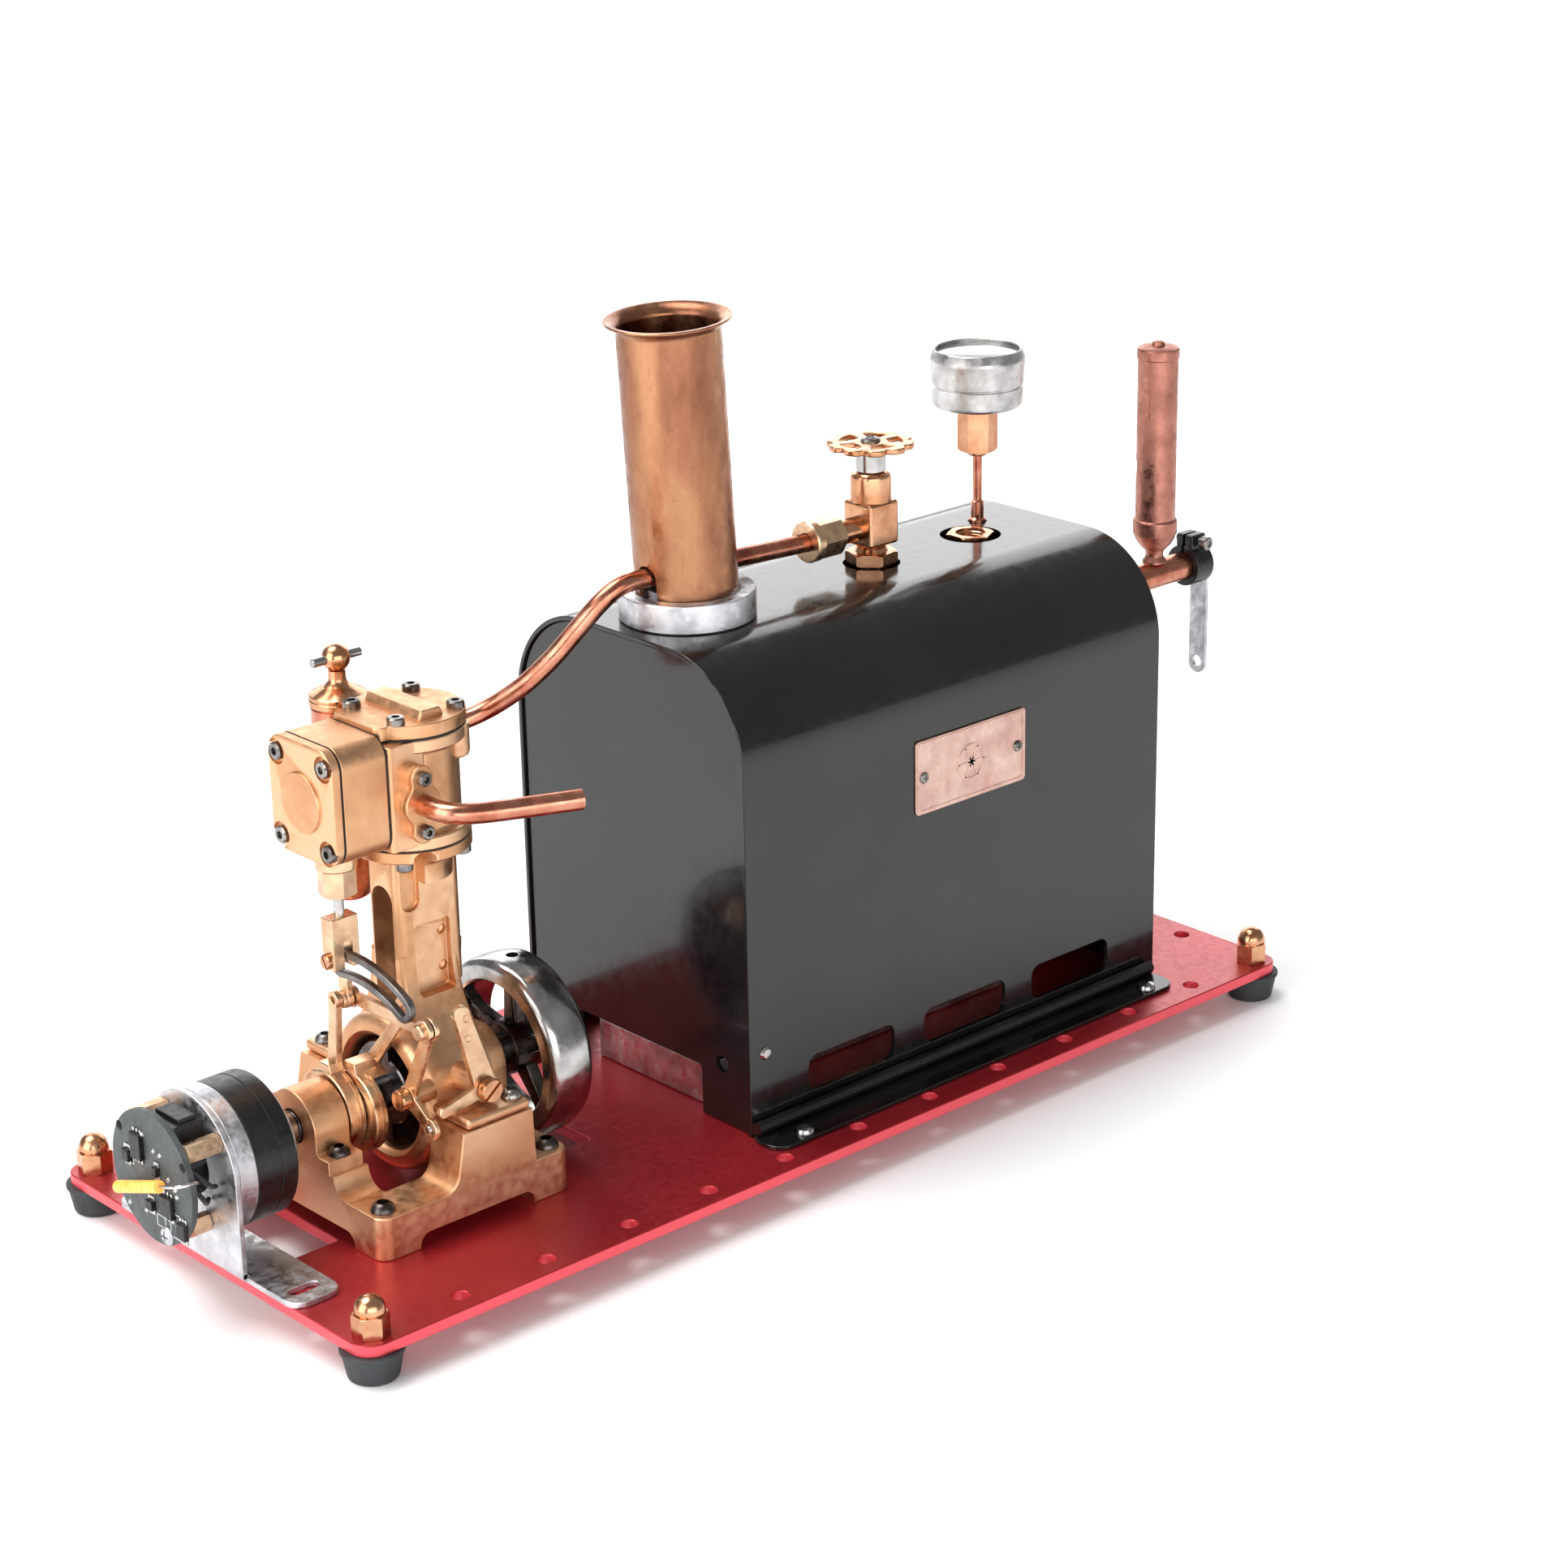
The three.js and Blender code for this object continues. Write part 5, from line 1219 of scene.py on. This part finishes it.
def exhaust():
    low, high = span("exhaust_flange")
    x, z = PORT
    place(prism([flange_outline(x, z)], "y", low.y, high.y, 0.3), "exhaust_flange_cast", BRONZE,
          "exhaust_flange")
    screws = [socket_screw("y", (x, z + side * EAR), low.y, -1, 1.75, 1.7) for side in (-1, 1)]
    place(gather(*screws), "exhaust_flange_screws", SCREW_STEEL, like="exhaust_flange")
    bent = [
        (x, low.y, z), (x, 38.6, z), (52.1, 36, z), (53, 32.6, 100.9), (55.8, 30, 100.7),
        (60, 28.2, 100.4), (66, 26, 100.2), (74, 23, 100.1), (82, 20, 100),
    ]
    bore = [(66, 26, 100.2), (74, 23, 100.1), (83, 19.63, 100)]
    pipe = cut(tube(bent, 2.5, 8, 36), tube(bore, 1.9, 6, 32))
    place(pipe, "exhaust_pipe_bent", COPPER, "exhaust_pipe")


def lubricator():
    x, y = OILER_AT
    face = MID_Y + 14.4
    body = lathe(
        [(0, 66), (1.6, 66.05), (3.4, 66.5), (5, 67.5), (6.1, 69), (6.6, 70.8), (6.8, 73),
         (6.8, 115.1), (6.5, 115.4), (0, 115.4)],
        "z", OILER_AT, 72,
    )
    flange = prism([flange_outline(*PORT)], "y", face, face + 1.8, 0.3)
    stub = cylinder("y", PORT, 3, face + 0.5, y)
    place(gather(body, flange, stub), "lubricator_body_turned", COPPER, "lubricator_body")
    cap = lathe(
        [(0, 109), (5, 109), (5, 115.5), (6.8, 115.5), (7.1, 115.8), (7.1, 117.1), (6.85, 117.3),
         (6.85, 117.6), (7.1, 117.8), (7.05, 118.3), (6.7, 118.6), (3.6, 120.1), (2.8, 120.7),
         (2.3, 121.4), (2.1, 122.2), (2.1, 124.1), (0, 124.1)],
        "z", OILER_AT, 64,
    )
    ball = lathe(
        [(0, 127.1 - 3.45)]
        + [(3.45 * math.cos(math.radians(a)), 127.1 + 3.45 * math.sin(math.radians(a)))
           for a in range(-80, 90, 10)]
        + [(0, 127.1 + 3.45)],
        "z", OILER_AT, 48,
    )
    place(gather(cap, ball), "lubricator_cap_turned", BRASS, "lubricator_cap")
    rod = lathe(
        [(0, x - 7), (0.9, x - 7), (1.1, x - 6.8), (1.1, x + 6.8), (0.9, x + 7), (0, x + 7)],
        "x", (y, 127.1), 28)
    place(rod, "lubricator_tommy_bar", STEEL, like="lubricator_cap")


# ---------------------------------------------------------------- running gear


CRANK_THROW = 6.0
ROD_LENGTH = 27.0
CRANK_PIN = (MID_Y - CRANK_THROW, CRANK_Z)
CROSSHEAD_Z = CRANK_Z + math.sqrt(ROD_LENGTH ** 2 - CRANK_THROW ** 2)


def piston_and_rod():
    pin = CROSSHEAD_Z
    crown = pin + 55.7
    crosshead = cut(
        lathe([(0, pin - 4), (3.8, pin - 4), (4.1, pin - 3.7), (4.1, pin + 4.2), (3.8, pin + 4.5),
               (0, pin + 4.5)], "z", CYL_AT, 56),
        block(57.6, 61.4, 40, 70, pin - 6, pin + 2.6, 0.1),
    )
    rest = gather(
        lathe([(0, crown - 6.5), (8.9, crown - 6.5), (9.3, crown - 6.1), (9.3, crown - 0.4),
               (8.9, crown), (0, crown)], "z", CYL_AT, 64),
        cylinder("z", CYL_AT, 1.5, pin + 4, crown - 6),
        cylinder("x", (MID_Y, pin), 1.4, 56, 63),
    )
    place(gather(crosshead, rest), "piston_and_crosshead_ground", SATIN_STEEL, "piston_and_crosshead")
    rod = prism(
        [bar_outline((MID_Y, pin), CRANK_PIN, 1.3, 1.7, 2.4, 3.8), circle((MID_Y, pin), 1.5, 28),
         circle(CRANK_PIN, 2.2, 32)],
        "x", 57.9, 61.1, 0.35, 3,
    )
    place(rod, "connecting_rod_machined", SATIN_BRASS, "connecting_rod")


ECC_AHEAD = (MID_Y + 1.9, CRANK_Z - 0.6)
ECC_ASTERN = (MID_Y - 1.9, CRANK_Z - 0.6)


def crank_web(x0, x1):
    """Round web with a counterweight on the side away from the crank pin."""
    edge = MID_Y - 1.3
    weight = cut(
        lathe([(0, x0), (12.5, x0), (12.9, x0 + 0.4), (12.9, x1 - 0.4), (12.5, x1), (0, x1)],
              "x", CRANK, 96),
        block(x0 - 1, x1 + 1, edge - 20, edge, CRANK_Z - 20, CRANK_Z + 20, 0.02),
    )
    hub = lathe([(0, x0), (8, x0), (8.4, x0 + 0.4), (8.4, x1 - 0.4), (8, x1), (0, x1)],
                "x", CRANK, 72)
    return soften(join(hub, weight), 0.3, 2, 42)


def crankshaft():
    left = gather(
        cylinder("x", CRANK, 4, 20, 54, 0.2, 56),
        crank_web(48, 57.2),
        cylinder("x", CRANK_PIN, 2, 57, 57.7),
    )
    place(left, "crankshaft_left_turned", WEB_STEEL, "crankshaft_left")
    sheaves = [
        cylinder("x", ECC_AHEAD, 7.95, 31.6, 35.7, 0.2, 64),
        cylinder("x", ECC_ASTERN, 7.95, 36.2, 39.4, 0.2, 64),
    ]
    place(gather(*sheaves), "eccentric_sheaves_turned", SATIN_BRASS, like="crankshaft_left")
    right = gather(
        crank_web(61.8, 64.7),
        cylinder("x", CRANK_PIN, 2, 61.3, 62),
        cylinder("x", CRANK, 4, 64, 94.6, 0.3, 56),
    )
    place(right, "crankshaft_right_turned", WEB_STEEL, "crankshaft_right")
    place(
        lathe([(0, 12.6), (3.6, 12.6), (4.2, 13.1), (4.2, 19.4), (3.8, 19.9), (0, 19.9)], "x", CRANK, 48),
        "shaft_coupling_turned", SCREW_STEEL, "shaft_coupling",
    )


def flywheel():
    low, high = span("flywheel")
    mid = (low.x + high.x) / 2
    half = (high.x - low.x) / 2
    outer = (high.y - low.y) / 2
    inner_r = 17.9
    shoulder = 2.6
    flat = half - shoulder
    round_edge = arc((high.x - shoulder, outer - 0.3 - shoulder), shoulder, 0, 90, 8)
    right = [(r, x) for x, r in round_edge]
    crown = [(r, 2 * mid - x) for r, x in right] + [(outer, mid + flat * t) for t in (-0.5, 0, 0.5)]
    crown += right[::-1]
    inner = [(inner_r + 0.5, high.x), (inner_r, high.x - 0.5), (inner_r, low.x + 0.5),
             (inner_r + 0.5, low.x)]
    rim = lathe(crown + inner, "x", CRANK, 128, True)
    rim = cut(rim, cylinder("z", (mid, MID_Y), 1.6, CRANK_Z + 15, CRANK_Z + 30, 0.02, 32))
    place(rim, "flywheel_rim", STEEL, "flywheel")
    spokes = []
    for i in range(5):
        a = TAU * i / 5 + 0.3
        points = []
        for t in (0.0, 0.2, 0.4, 0.6, 0.8, 1.0):
            r = 5.5 + 13.2 * t
            half_width = 1.75 + 0.9 * (1 - t) ** 2 + 1.3 * (max(0.0, t - 0.75) * 4) ** 2
            points.append((r, half_width))
        outline = points + [(r, -h) for r, h in points[::-1]]
        c, s = math.cos(a), math.sin(a)
        turned_points = [(MID_Y + u * c - v * s, CRANK_Z + u * s + v * c) for u, v in outline]
        spokes.append(prism([turned_points], "x", mid - 1.9, mid + 1.9, 0.8, 3))
    hub = lathe(
        [(4.02, mid - 5), (6.3, mid - 5), (6.8, mid - 4.5), (7, mid - 2), (7, mid + 2),
         (6.8, mid + 4.5), (6.3, mid + 5), (4.02, mid + 5)],
        "x", CRANK, 64, True,
    )
    place(gather(hub, *spokes), "flywheel_hub_and_spokes", DARK_STEEL, like="flywheel")


def strap(node, x0, x1, centre, rod_x, joggle, tip, name):
    """Eccentric strap with its rod: a grooved ring, a neck and a flat rod."""
    neck_z = centre[1] + 10.1
    ring = lathe(
        [(8.25, x0), (10.2, x0), (10.5, x0 + 0.3), (10.5, x0 + 1.1), (10.0, x0 + 1.3),
         (10.0, x1 - 1.3), (10.5, x1 - 1.1), (10.5, x1 - 0.3), (10.2, x1), (8.25, x1)],
        "x", centre, 80, True,
    )
    neck = prism(
        [[(centre[0] + u, neck_z + v) for u, v in
          ((-4.6, -1.3), (4.6, -1.3), (2.4, 0.4), (2.0, 2.4), (-2.0, 2.4), (-2.4, 0.4))]],
        "x", joggle[0], joggle[1], 0.35,
    )
    rod = prism([bar_outline((centre[0], neck_z + 1.2), tip, 1.85, 1.6, 1.9, 2.1),
                 circle(tip, 0.9, 20)], "x", rod_x[0], rod_x[1], 0.3)
    place(gather(ring, neck, rod), name, SATIN_BRASS, node)


def link_points(inset, mean_r=37.0, centre=(52, 24)):
    start = 90 + math.degrees(math.asin(18 / mean_r))
    end = 90 - math.degrees(math.asin(6 / mean_r))

    def on(a):
        a = math.radians(a)
        return (centre[0] + mean_r * math.cos(a), centre[1] + mean_r * math.sin(a))

    return (
        arc(centre, mean_r + inset, end, start, 28)
        + arc(on(start), inset, start, start + 180, 14)[1:-1]
        + arc(centre, mean_r - inset, start, end, 28)
        + arc(on(end), inset, end + 180, end + 360, 14)[1:-1]
    )


def valve_gear():
    strap("strap_rod_ahead", 31.4, 35.9, ECC_AHEAD, (34.1, 35.9), (31.7, 35.9), (MID_Y, 52.4),
          "strap_rod_ahead_machined")
    strap("strap_rod_astern", 36.1, 39.6, ECC_ASTERN, (42.7, 44.2), (36.3, 44.2), (41, 51.2),
          "strap_rod_astern_machined")
    place(prism([link_points(3.5), link_points(1.75)], "x", 37.2, 39.1, 0.35, 3),
          "expansion_link_slotted", LINK_STEEL, "expansion_link")
    lug = prism([bar_outline((MID_Y, 56.6), (MID_Y, 51.8), 1.7, 1.7, 1.8, 2.3)], "x", 37.25, 39.05, 0.3)
    pin = lathe(along(37.2, -1, [(0, 0), (2.1, 0), (2.1, 0.7), (1.8, 1.0), (0, 1.0)]),
                "x", (MID_Y, 51.8), 32)
    place(gather(lug, pin), "expansion_link_lug", SATIN_BRASS, like="expansion_link")

    far = (29, 51.6)
    drag = gather(
        prism([bar_outline((MID_Y, 51.8), far, 1.7, 1.7, 2.7, 2.9)], "x", 39.25, 40.7, 0.3),
        lathe(along(39.3, -1, [(0, 0), (1.9, 0), (1.9, 1.2), (1.6, 1.6), (0, 1.7)]), "x", far, 36),
    )
    place(drag, "drag_link_machined", SATIN_BRASS, "drag_link")
    lower = (30.6, 25.5)
    crank = gather(
        prism([bar_outline(BELL_PIVOT, far, 2.1, 1.7, 3.1, 2.9)], "x", 41.05, 42.4, 0.3),
        prism([bar_outline(BELL_PIVOT, lower, 2.1, 1.7, 3.0, 2.6), circle(lower, 1.2, 20)],
              "x", 41, 42.35, 0.3),
        lathe(along(42.5, -1, [(0, 0), (2.2, 0), (2.2, 0.9), (0, 0.9)]), "x", far, 36),
    )
    place(crank, "bell_crank_machined", SATIN_BRASS, "bell_crank")
    rivet = lathe(along(41, -1, [(0, -1.3), (1.1, -1.3), (1.1, 0.2), (0.8, 0.6), (0, 0.7)]), "x", lower, 24)
    place(rivet, "bell_crank_pin", STEEL, like="bell_crank")

    x, y = VALVE_ROD
    fork = cut(
        block(33.8, 41.4, y - 2.2, y + 2.2, 60.2, 73.2, 0.35),
        block(36.9, 39.4, y - 4, y + 4, 57, 67, 0.15),
    )
    place(soften(fork, 0.2, 2, 45), "valve_rod_fork", SATIN_BRASS, "valve_rod")
    rod = gather(cylinder("z", VALVE_ROD, 1.25, 72.6, 109, 0.1, 32),
                 block(x - 1, CHEST_X - 0.2, y - 6, y + 6, 98, 109, 0.3))
    place(rod, "valve_rod_ground", SATIN_STEEL, like="valve_rod")
    place(slotted_screw("x", (y, 62.5), 33.9, -1, 1.9, 1.3, 60, 0.5), "valve_fork_screw", BRASS,
          like="valve_rod")


def reversing_lever():
    px, pz = LEVER_PIVOT
    top = (px - 6.1, pz + 20.6)
    tip = (px - 12.6, pz - 2.4)
    upper = prism([bar_outline(LEVER_PIVOT, top, 3.0, 2.2, 3.55, 2.3, 20)], "y", 28.6, 30.4, 0.3)
    lower = prism([bar_outline(LEVER_PIVOT, tip, 1.8, 1.35, 3.4, 1.4, 16)], "y", 28.62, 30.38, 0.3)
    hole = lathe([(0, 27), (2.3, 27), (2.3, 32), (0, 32)], "y", LEVER_PIVOT, 32)
    shave = block(px - 4, px + 4, 27, 32, pz - 5, pz - 3.2, 0.1)
    lever = cut(join(upper, lower), hole, shave)
    dimples = [
        lathe([(0, 27.5), (1.0, 27.5), (1.0, 28.75), (0, 29.1)], "y",
              (top[0] + 0.9 + 0.3 * i, top[1] - 1.0 - 5.2 * i), 20)
        for i in range(2)
    ]
    lever = cut(lever, *dimples)
    place(lever, "reversing_lever_machined", SATIN_BRASS, "reversing_lever")


# ---------------------------------------------------------------- generator


def generator():
    low, high = span("generator_bracket")
    t = 1.5
    left = low.x
    wall = [(MID_Y - 18, 1.0), (MID_Y + 18, 1.0)] + arc(CRANK, 18, 0, 180, 40)
    sheet = prism([wall, circle(CRANK, 7, 40)], "x", left, left + t, 0.25)
    foot = prism(
        [round_rect(left + 0.9, 7, 19.5, NUT_Y - 19.5, 4, 8)]
        + [round_rect(-4.3, 3.9, y - 1.6, y + 1.6, 1.55, 8) for y in (25.6, NUT_Y - 25.6)],
        "z", 0.01, t, 0.25,
    )
    bend = (
        [(left + 1.6, 0.01)] + arc((left + 1.6, 1.6), 1.6, 268, 182, 8)
        + [(left, 2.2), (left + t, 2.2), (left + t + 0.4, t), (left + 2.6, t), (left + 2.6, 0.01)]
    )
    corner = prism([bend], "y", MID_Y - 18, MID_Y + 18, 0.02, 1)
    place(gather(sheet, foot, corner), "generator_bracket_bent", ALUMINIUM, "generator_bracket")

    low, high = span("generator_mount_ring")
    ring = lathe(
        [(7, low.x), (17.4, low.x), (17.8, low.x + 0.4), (17.8, high.x - 0.25), (17.6, high.x),
         (7, high.x)],
        "x", CRANK, 112, True,
    )
    place(ring, "generator_mount_ring_turned", ALUMINIUM, "generator_mount_ring")
    low, high = span("generator_can")
    can = lathe(
        [(0, low.x), (17.3, low.x), (17.6, low.x + 0.3), (17.6, 5.4), (17.45, 5.5), (17.45, 5.7),
         (17.6, 5.8), (17.6, 9.6), (17.3, 10.1), (16.8, 10.3), (0, 10.3)],
        "x", CRANK, 112,
    )
    place(can, "generator_can_black", CAN_BLACK, "generator_can")
    disc = lathe(
        [(0, 10.2), (14.4, 10.2), (14.4, 11.9), (14, 12.4), (0, 12.4)], "x", CRANK, 96)
    place(disc, "generator_end_disc", ALUMINIUM, like="generator_can")


SOLDER_DOTS = 16


def circuit_board():
    face, back = -18.3, -16.7
    centre = (MID_Y, 24.6)
    holes = [circle((69.5, 33.5), 1.2, 20), circle((43.6, 31.6), 1.2, 20)]
    board = prism([circle(centre, 16.4, 96)] + holes, "x", face, back, 0.12)
    place(board, "circuit_board_disc", BOARD, "circuit_board")
    posts = [
        hexagon("x", spot, 2.4, back, -7.7, 0, 0.25) for spot in ((45, 34), (52, 11.6), (66, 36))
    ]
    place(gather(*posts), "circuit_board_standoffs", SATIN_BRASS, like="circuit_board")
    plug = gather(
        block(back - 0.05, -8.6, 48.6, 61, 27.5, 39, 0.5),
        block(-14.5, -9.4, 50, 59.5, 38.6, 40, 0.3),
    )
    place(plug, "circuit_board_connector", CHIP, like="circuit_board")
    place(crossed_screw("x", (52, 11.6), face, -1, 2.3, 1.2), "circuit_board_screw", ALUMINIUM,
          like="circuit_board")
    chips = [(61.5, 31.2, 4.2, 6.4), (66.2, 27.4, 2.6, 3.0), (50.4, 19.6, 4.6, 5.2), (44.8, 15.4, 3.2, 4.0),
             (57.6, 17.6, 2.6, 2.4), (54.2, 27.2, 1.8, 2.4)]
    parts = []
    legs = []
    for y, z, w, h in chips:
        parts.append(block(face - 1.3, face + 0.05, y - w / 2, y + w / 2, z - h / 2, z + h / 2, 0.15))
        for side in (-1, 1):
            leg_z = z + side * (h / 2 + 0.5)
            for k in (-1, 0, 1):
                leg_y = y + k * w * 0.32
                legs.append(block(face - 0.45, face + 0.02, leg_y - 0.35, leg_y + 0.35,
                                  leg_z - 0.65, leg_z + 0.65, 0.12))
    place(gather(*parts), "circuit_board_chips", CHIP, like="circuit_board")
    for _ in range(SOLDER_DOTS):
        y = MID_Y + random.uniform(-11, 11)
        z = 24.6 + random.uniform(-11, 11)
        legs.append(lathe(along(face, -1, [(0, -0.1), (0.7, -0.1), (0.6, 0.25), (0.25, 0.5), (0, 0.55)]),
                          "x", (y, z), 16))
    place(gather(*legs), "circuit_board_solder", SOLDER, like="circuit_board")
    lines = []
    for y, z, w, h in ((66.2, 27.4, 3.8, 4.4), (47.6, 15.2, 6, 6.4), (54.4, 14.4, 3.6, 3)):
        lines.append(prism(
            [round_rect(y - w / 2, y + w / 2, z - h / 2, z + h / 2, 0.2, 2),
             round_rect(y - w / 2 + 0.22, y + w / 2 - 0.22, z - h / 2 + 0.22, z + h / 2 - 0.22, 0.1, 2)],
            "x", face - 0.06, face + 0.02, 0.01, 1))
    place(gather(*lines), "circuit_board_print", PRINT, like="circuit_board")

    lamp_x = -21.6
    rod = tube([(lamp_x, 48.6, 26.4), (lamp_x, 57, 23.4), (lamp_x, 66.6, 20)], 1.5, 6, 28)
    place(rod, "lamp_filament_rod", LAMP, like="circuit_board")
    lead = tube([(-16.2, 41.2, 28.2), (-17.4, 40.3, 28.9), (-19.4, 40.2, 29), (lamp_x, 41.2, 28.9),
                 (lamp_x, 44, 27.9), (lamp_x, 49, 26.2)], 0.45, 6, 14)
    wires = [
        tube([(-15.8, 44, 30), (-13, 42.8, 26.5), (-10.5, 44.6, 24), (-8.2, 46.5, 22.5)], 0.6, 8, 14),
        tube([(-15.8, 47, 27), (-13.4, 45, 22.5), (-10.8, 47, 19), (-8.2, 50, 18)], 0.6, 8, 14),
    ]
    place(lead, "lamp_lead", SOLDER, like="circuit_board")
    place(gather(*wires), "generator_wires", CHIP, like="circuit_board")


for build in (
    base_plate, corners, casing, nameplate, inside_casing, chimney, steam_valve, steam_pipe,
    filler_and_gauge, whistle, engine_bed, bearings, engine_column, cylinder_group, exhaust,
    lubricator, piston_and_rod, crankshaft, flywheel, valve_gear, reversing_lever, generator,
    circuit_board,
):
    build()

# ---------------------------------------------------------------- room, light and camera


FLOOR_HALF = 6.0


def floor():
    """A pale floor well past the object."""
    bm = bmesh.new()
    size = FLOOR_HALF
    corners_of_floor = [(-size, -size), (size, -size), (size, size), (-size, size)]
    bm.faces.new([bm.verts.new((x, y, 0)) for x, y in corners_of_floor])
    mesh = bpy.data.meshes.new("floor")
    bm.to_mesh(mesh)
    bm.free()
    ground = bpy.data.objects.new("floor", mesh)
    bpy.context.scene.collection.objects.link(ground)
    look = Look("floor_white", 0.7)
    look.colour(look.ramp(look.noise(200, 3), (0.3, srgb("F4F4F4")), (0.7, srgb("FAFAFA"))))
    mesh.materials.append(look.material)


def area_light(name, place_mm, aim_mm, size, power):
    data = bpy.data.lights.new(name, "AREA")
    data.shape = "RECTANGLE"
    data.size, data.size_y = size
    data.energy = power
    lamp = bpy.data.objects.new(name, data)
    lamp.location = ORIGIN + Vector(place_mm) * MM
    aim = ORIGIN + Vector(aim_mm) * MM
    lamp.rotation_euler = (aim - lamp.location).to_track_quat("-Z", "Y").to_euler()
    bpy.context.scene.collection.objects.link(lamp)


def lights():
    middle = (150, 57, 60)
    area_light("backdrop_panel", (1650, 1750, 1000), (150, 57, 100), (3.2, 1.5), 34)
    area_light("left_softbox", (-900, 100, 420), middle, (0.9, 0.9), 9)
    area_light("front_softbox", (-250, -900, 300), middle, (1.2, 0.5), 5.5)
    data = bpy.data.lights.new("sun_soft", "SUN")
    data.energy = 2.5
    data.angle = math.radians(40)
    sun = bpy.data.objects.new("sun_soft", data)
    sun.rotation_euler = Vector((0.25, -0.35, -1)).to_track_quat("-Z", "Y").to_euler()
    bpy.context.scene.collection.objects.link(sun)
    bpy.context.scene.view_settings.view_transform = "Standard"
    world = bpy.data.worlds.new("studio")
    world.use_nodes = True
    bpy.context.scene.world = world
    background = world.node_tree.nodes["Background"]
    background.inputs["Color"].default_value = (1, 1, 1, 1)
    background.inputs["Strength"].default_value = 0.3


AZIMUTH = math.radians(-42.138)
ELEVATION = math.radians(20.258)
ROLL = math.radians(-1.055)
DISTANCE = 1105.65
TARGET = Vector((303.6, 195.17, 0.0))
SENSOR = 36.0
LENS = 80.25


def camera():
    back = Vector((
        math.sin(AZIMUTH) * math.cos(ELEVATION),
        -math.cos(AZIMUTH) * math.cos(ELEVATION),
        math.sin(ELEVATION),
    ))
    right = Vector((math.cos(AZIMUTH), math.sin(AZIMUTH), 0))
    up = back.cross(right)
    right, up = (
        right * math.cos(ROLL) + up * math.sin(ROLL),
        up * math.cos(ROLL) - right * math.sin(ROLL),
    )
    data = bpy.data.cameras.new("camera")
    data.sensor_width = SENSOR
    data.lens = LENS
    data.clip_start, data.clip_end = 0.05, 50
    eye = bpy.data.objects.new("camera", data)
    turn = Matrix((right, up, back)).transposed().to_4x4()
    eye.matrix_world = Matrix.Translation(ORIGIN + (TARGET + back * DISTANCE) * MM) @ turn
    bpy.context.scene.collection.objects.link(eye)
    bpy.context.scene.camera = eye


floor()
lights()
camera()
bpy.context.view_layer.update()
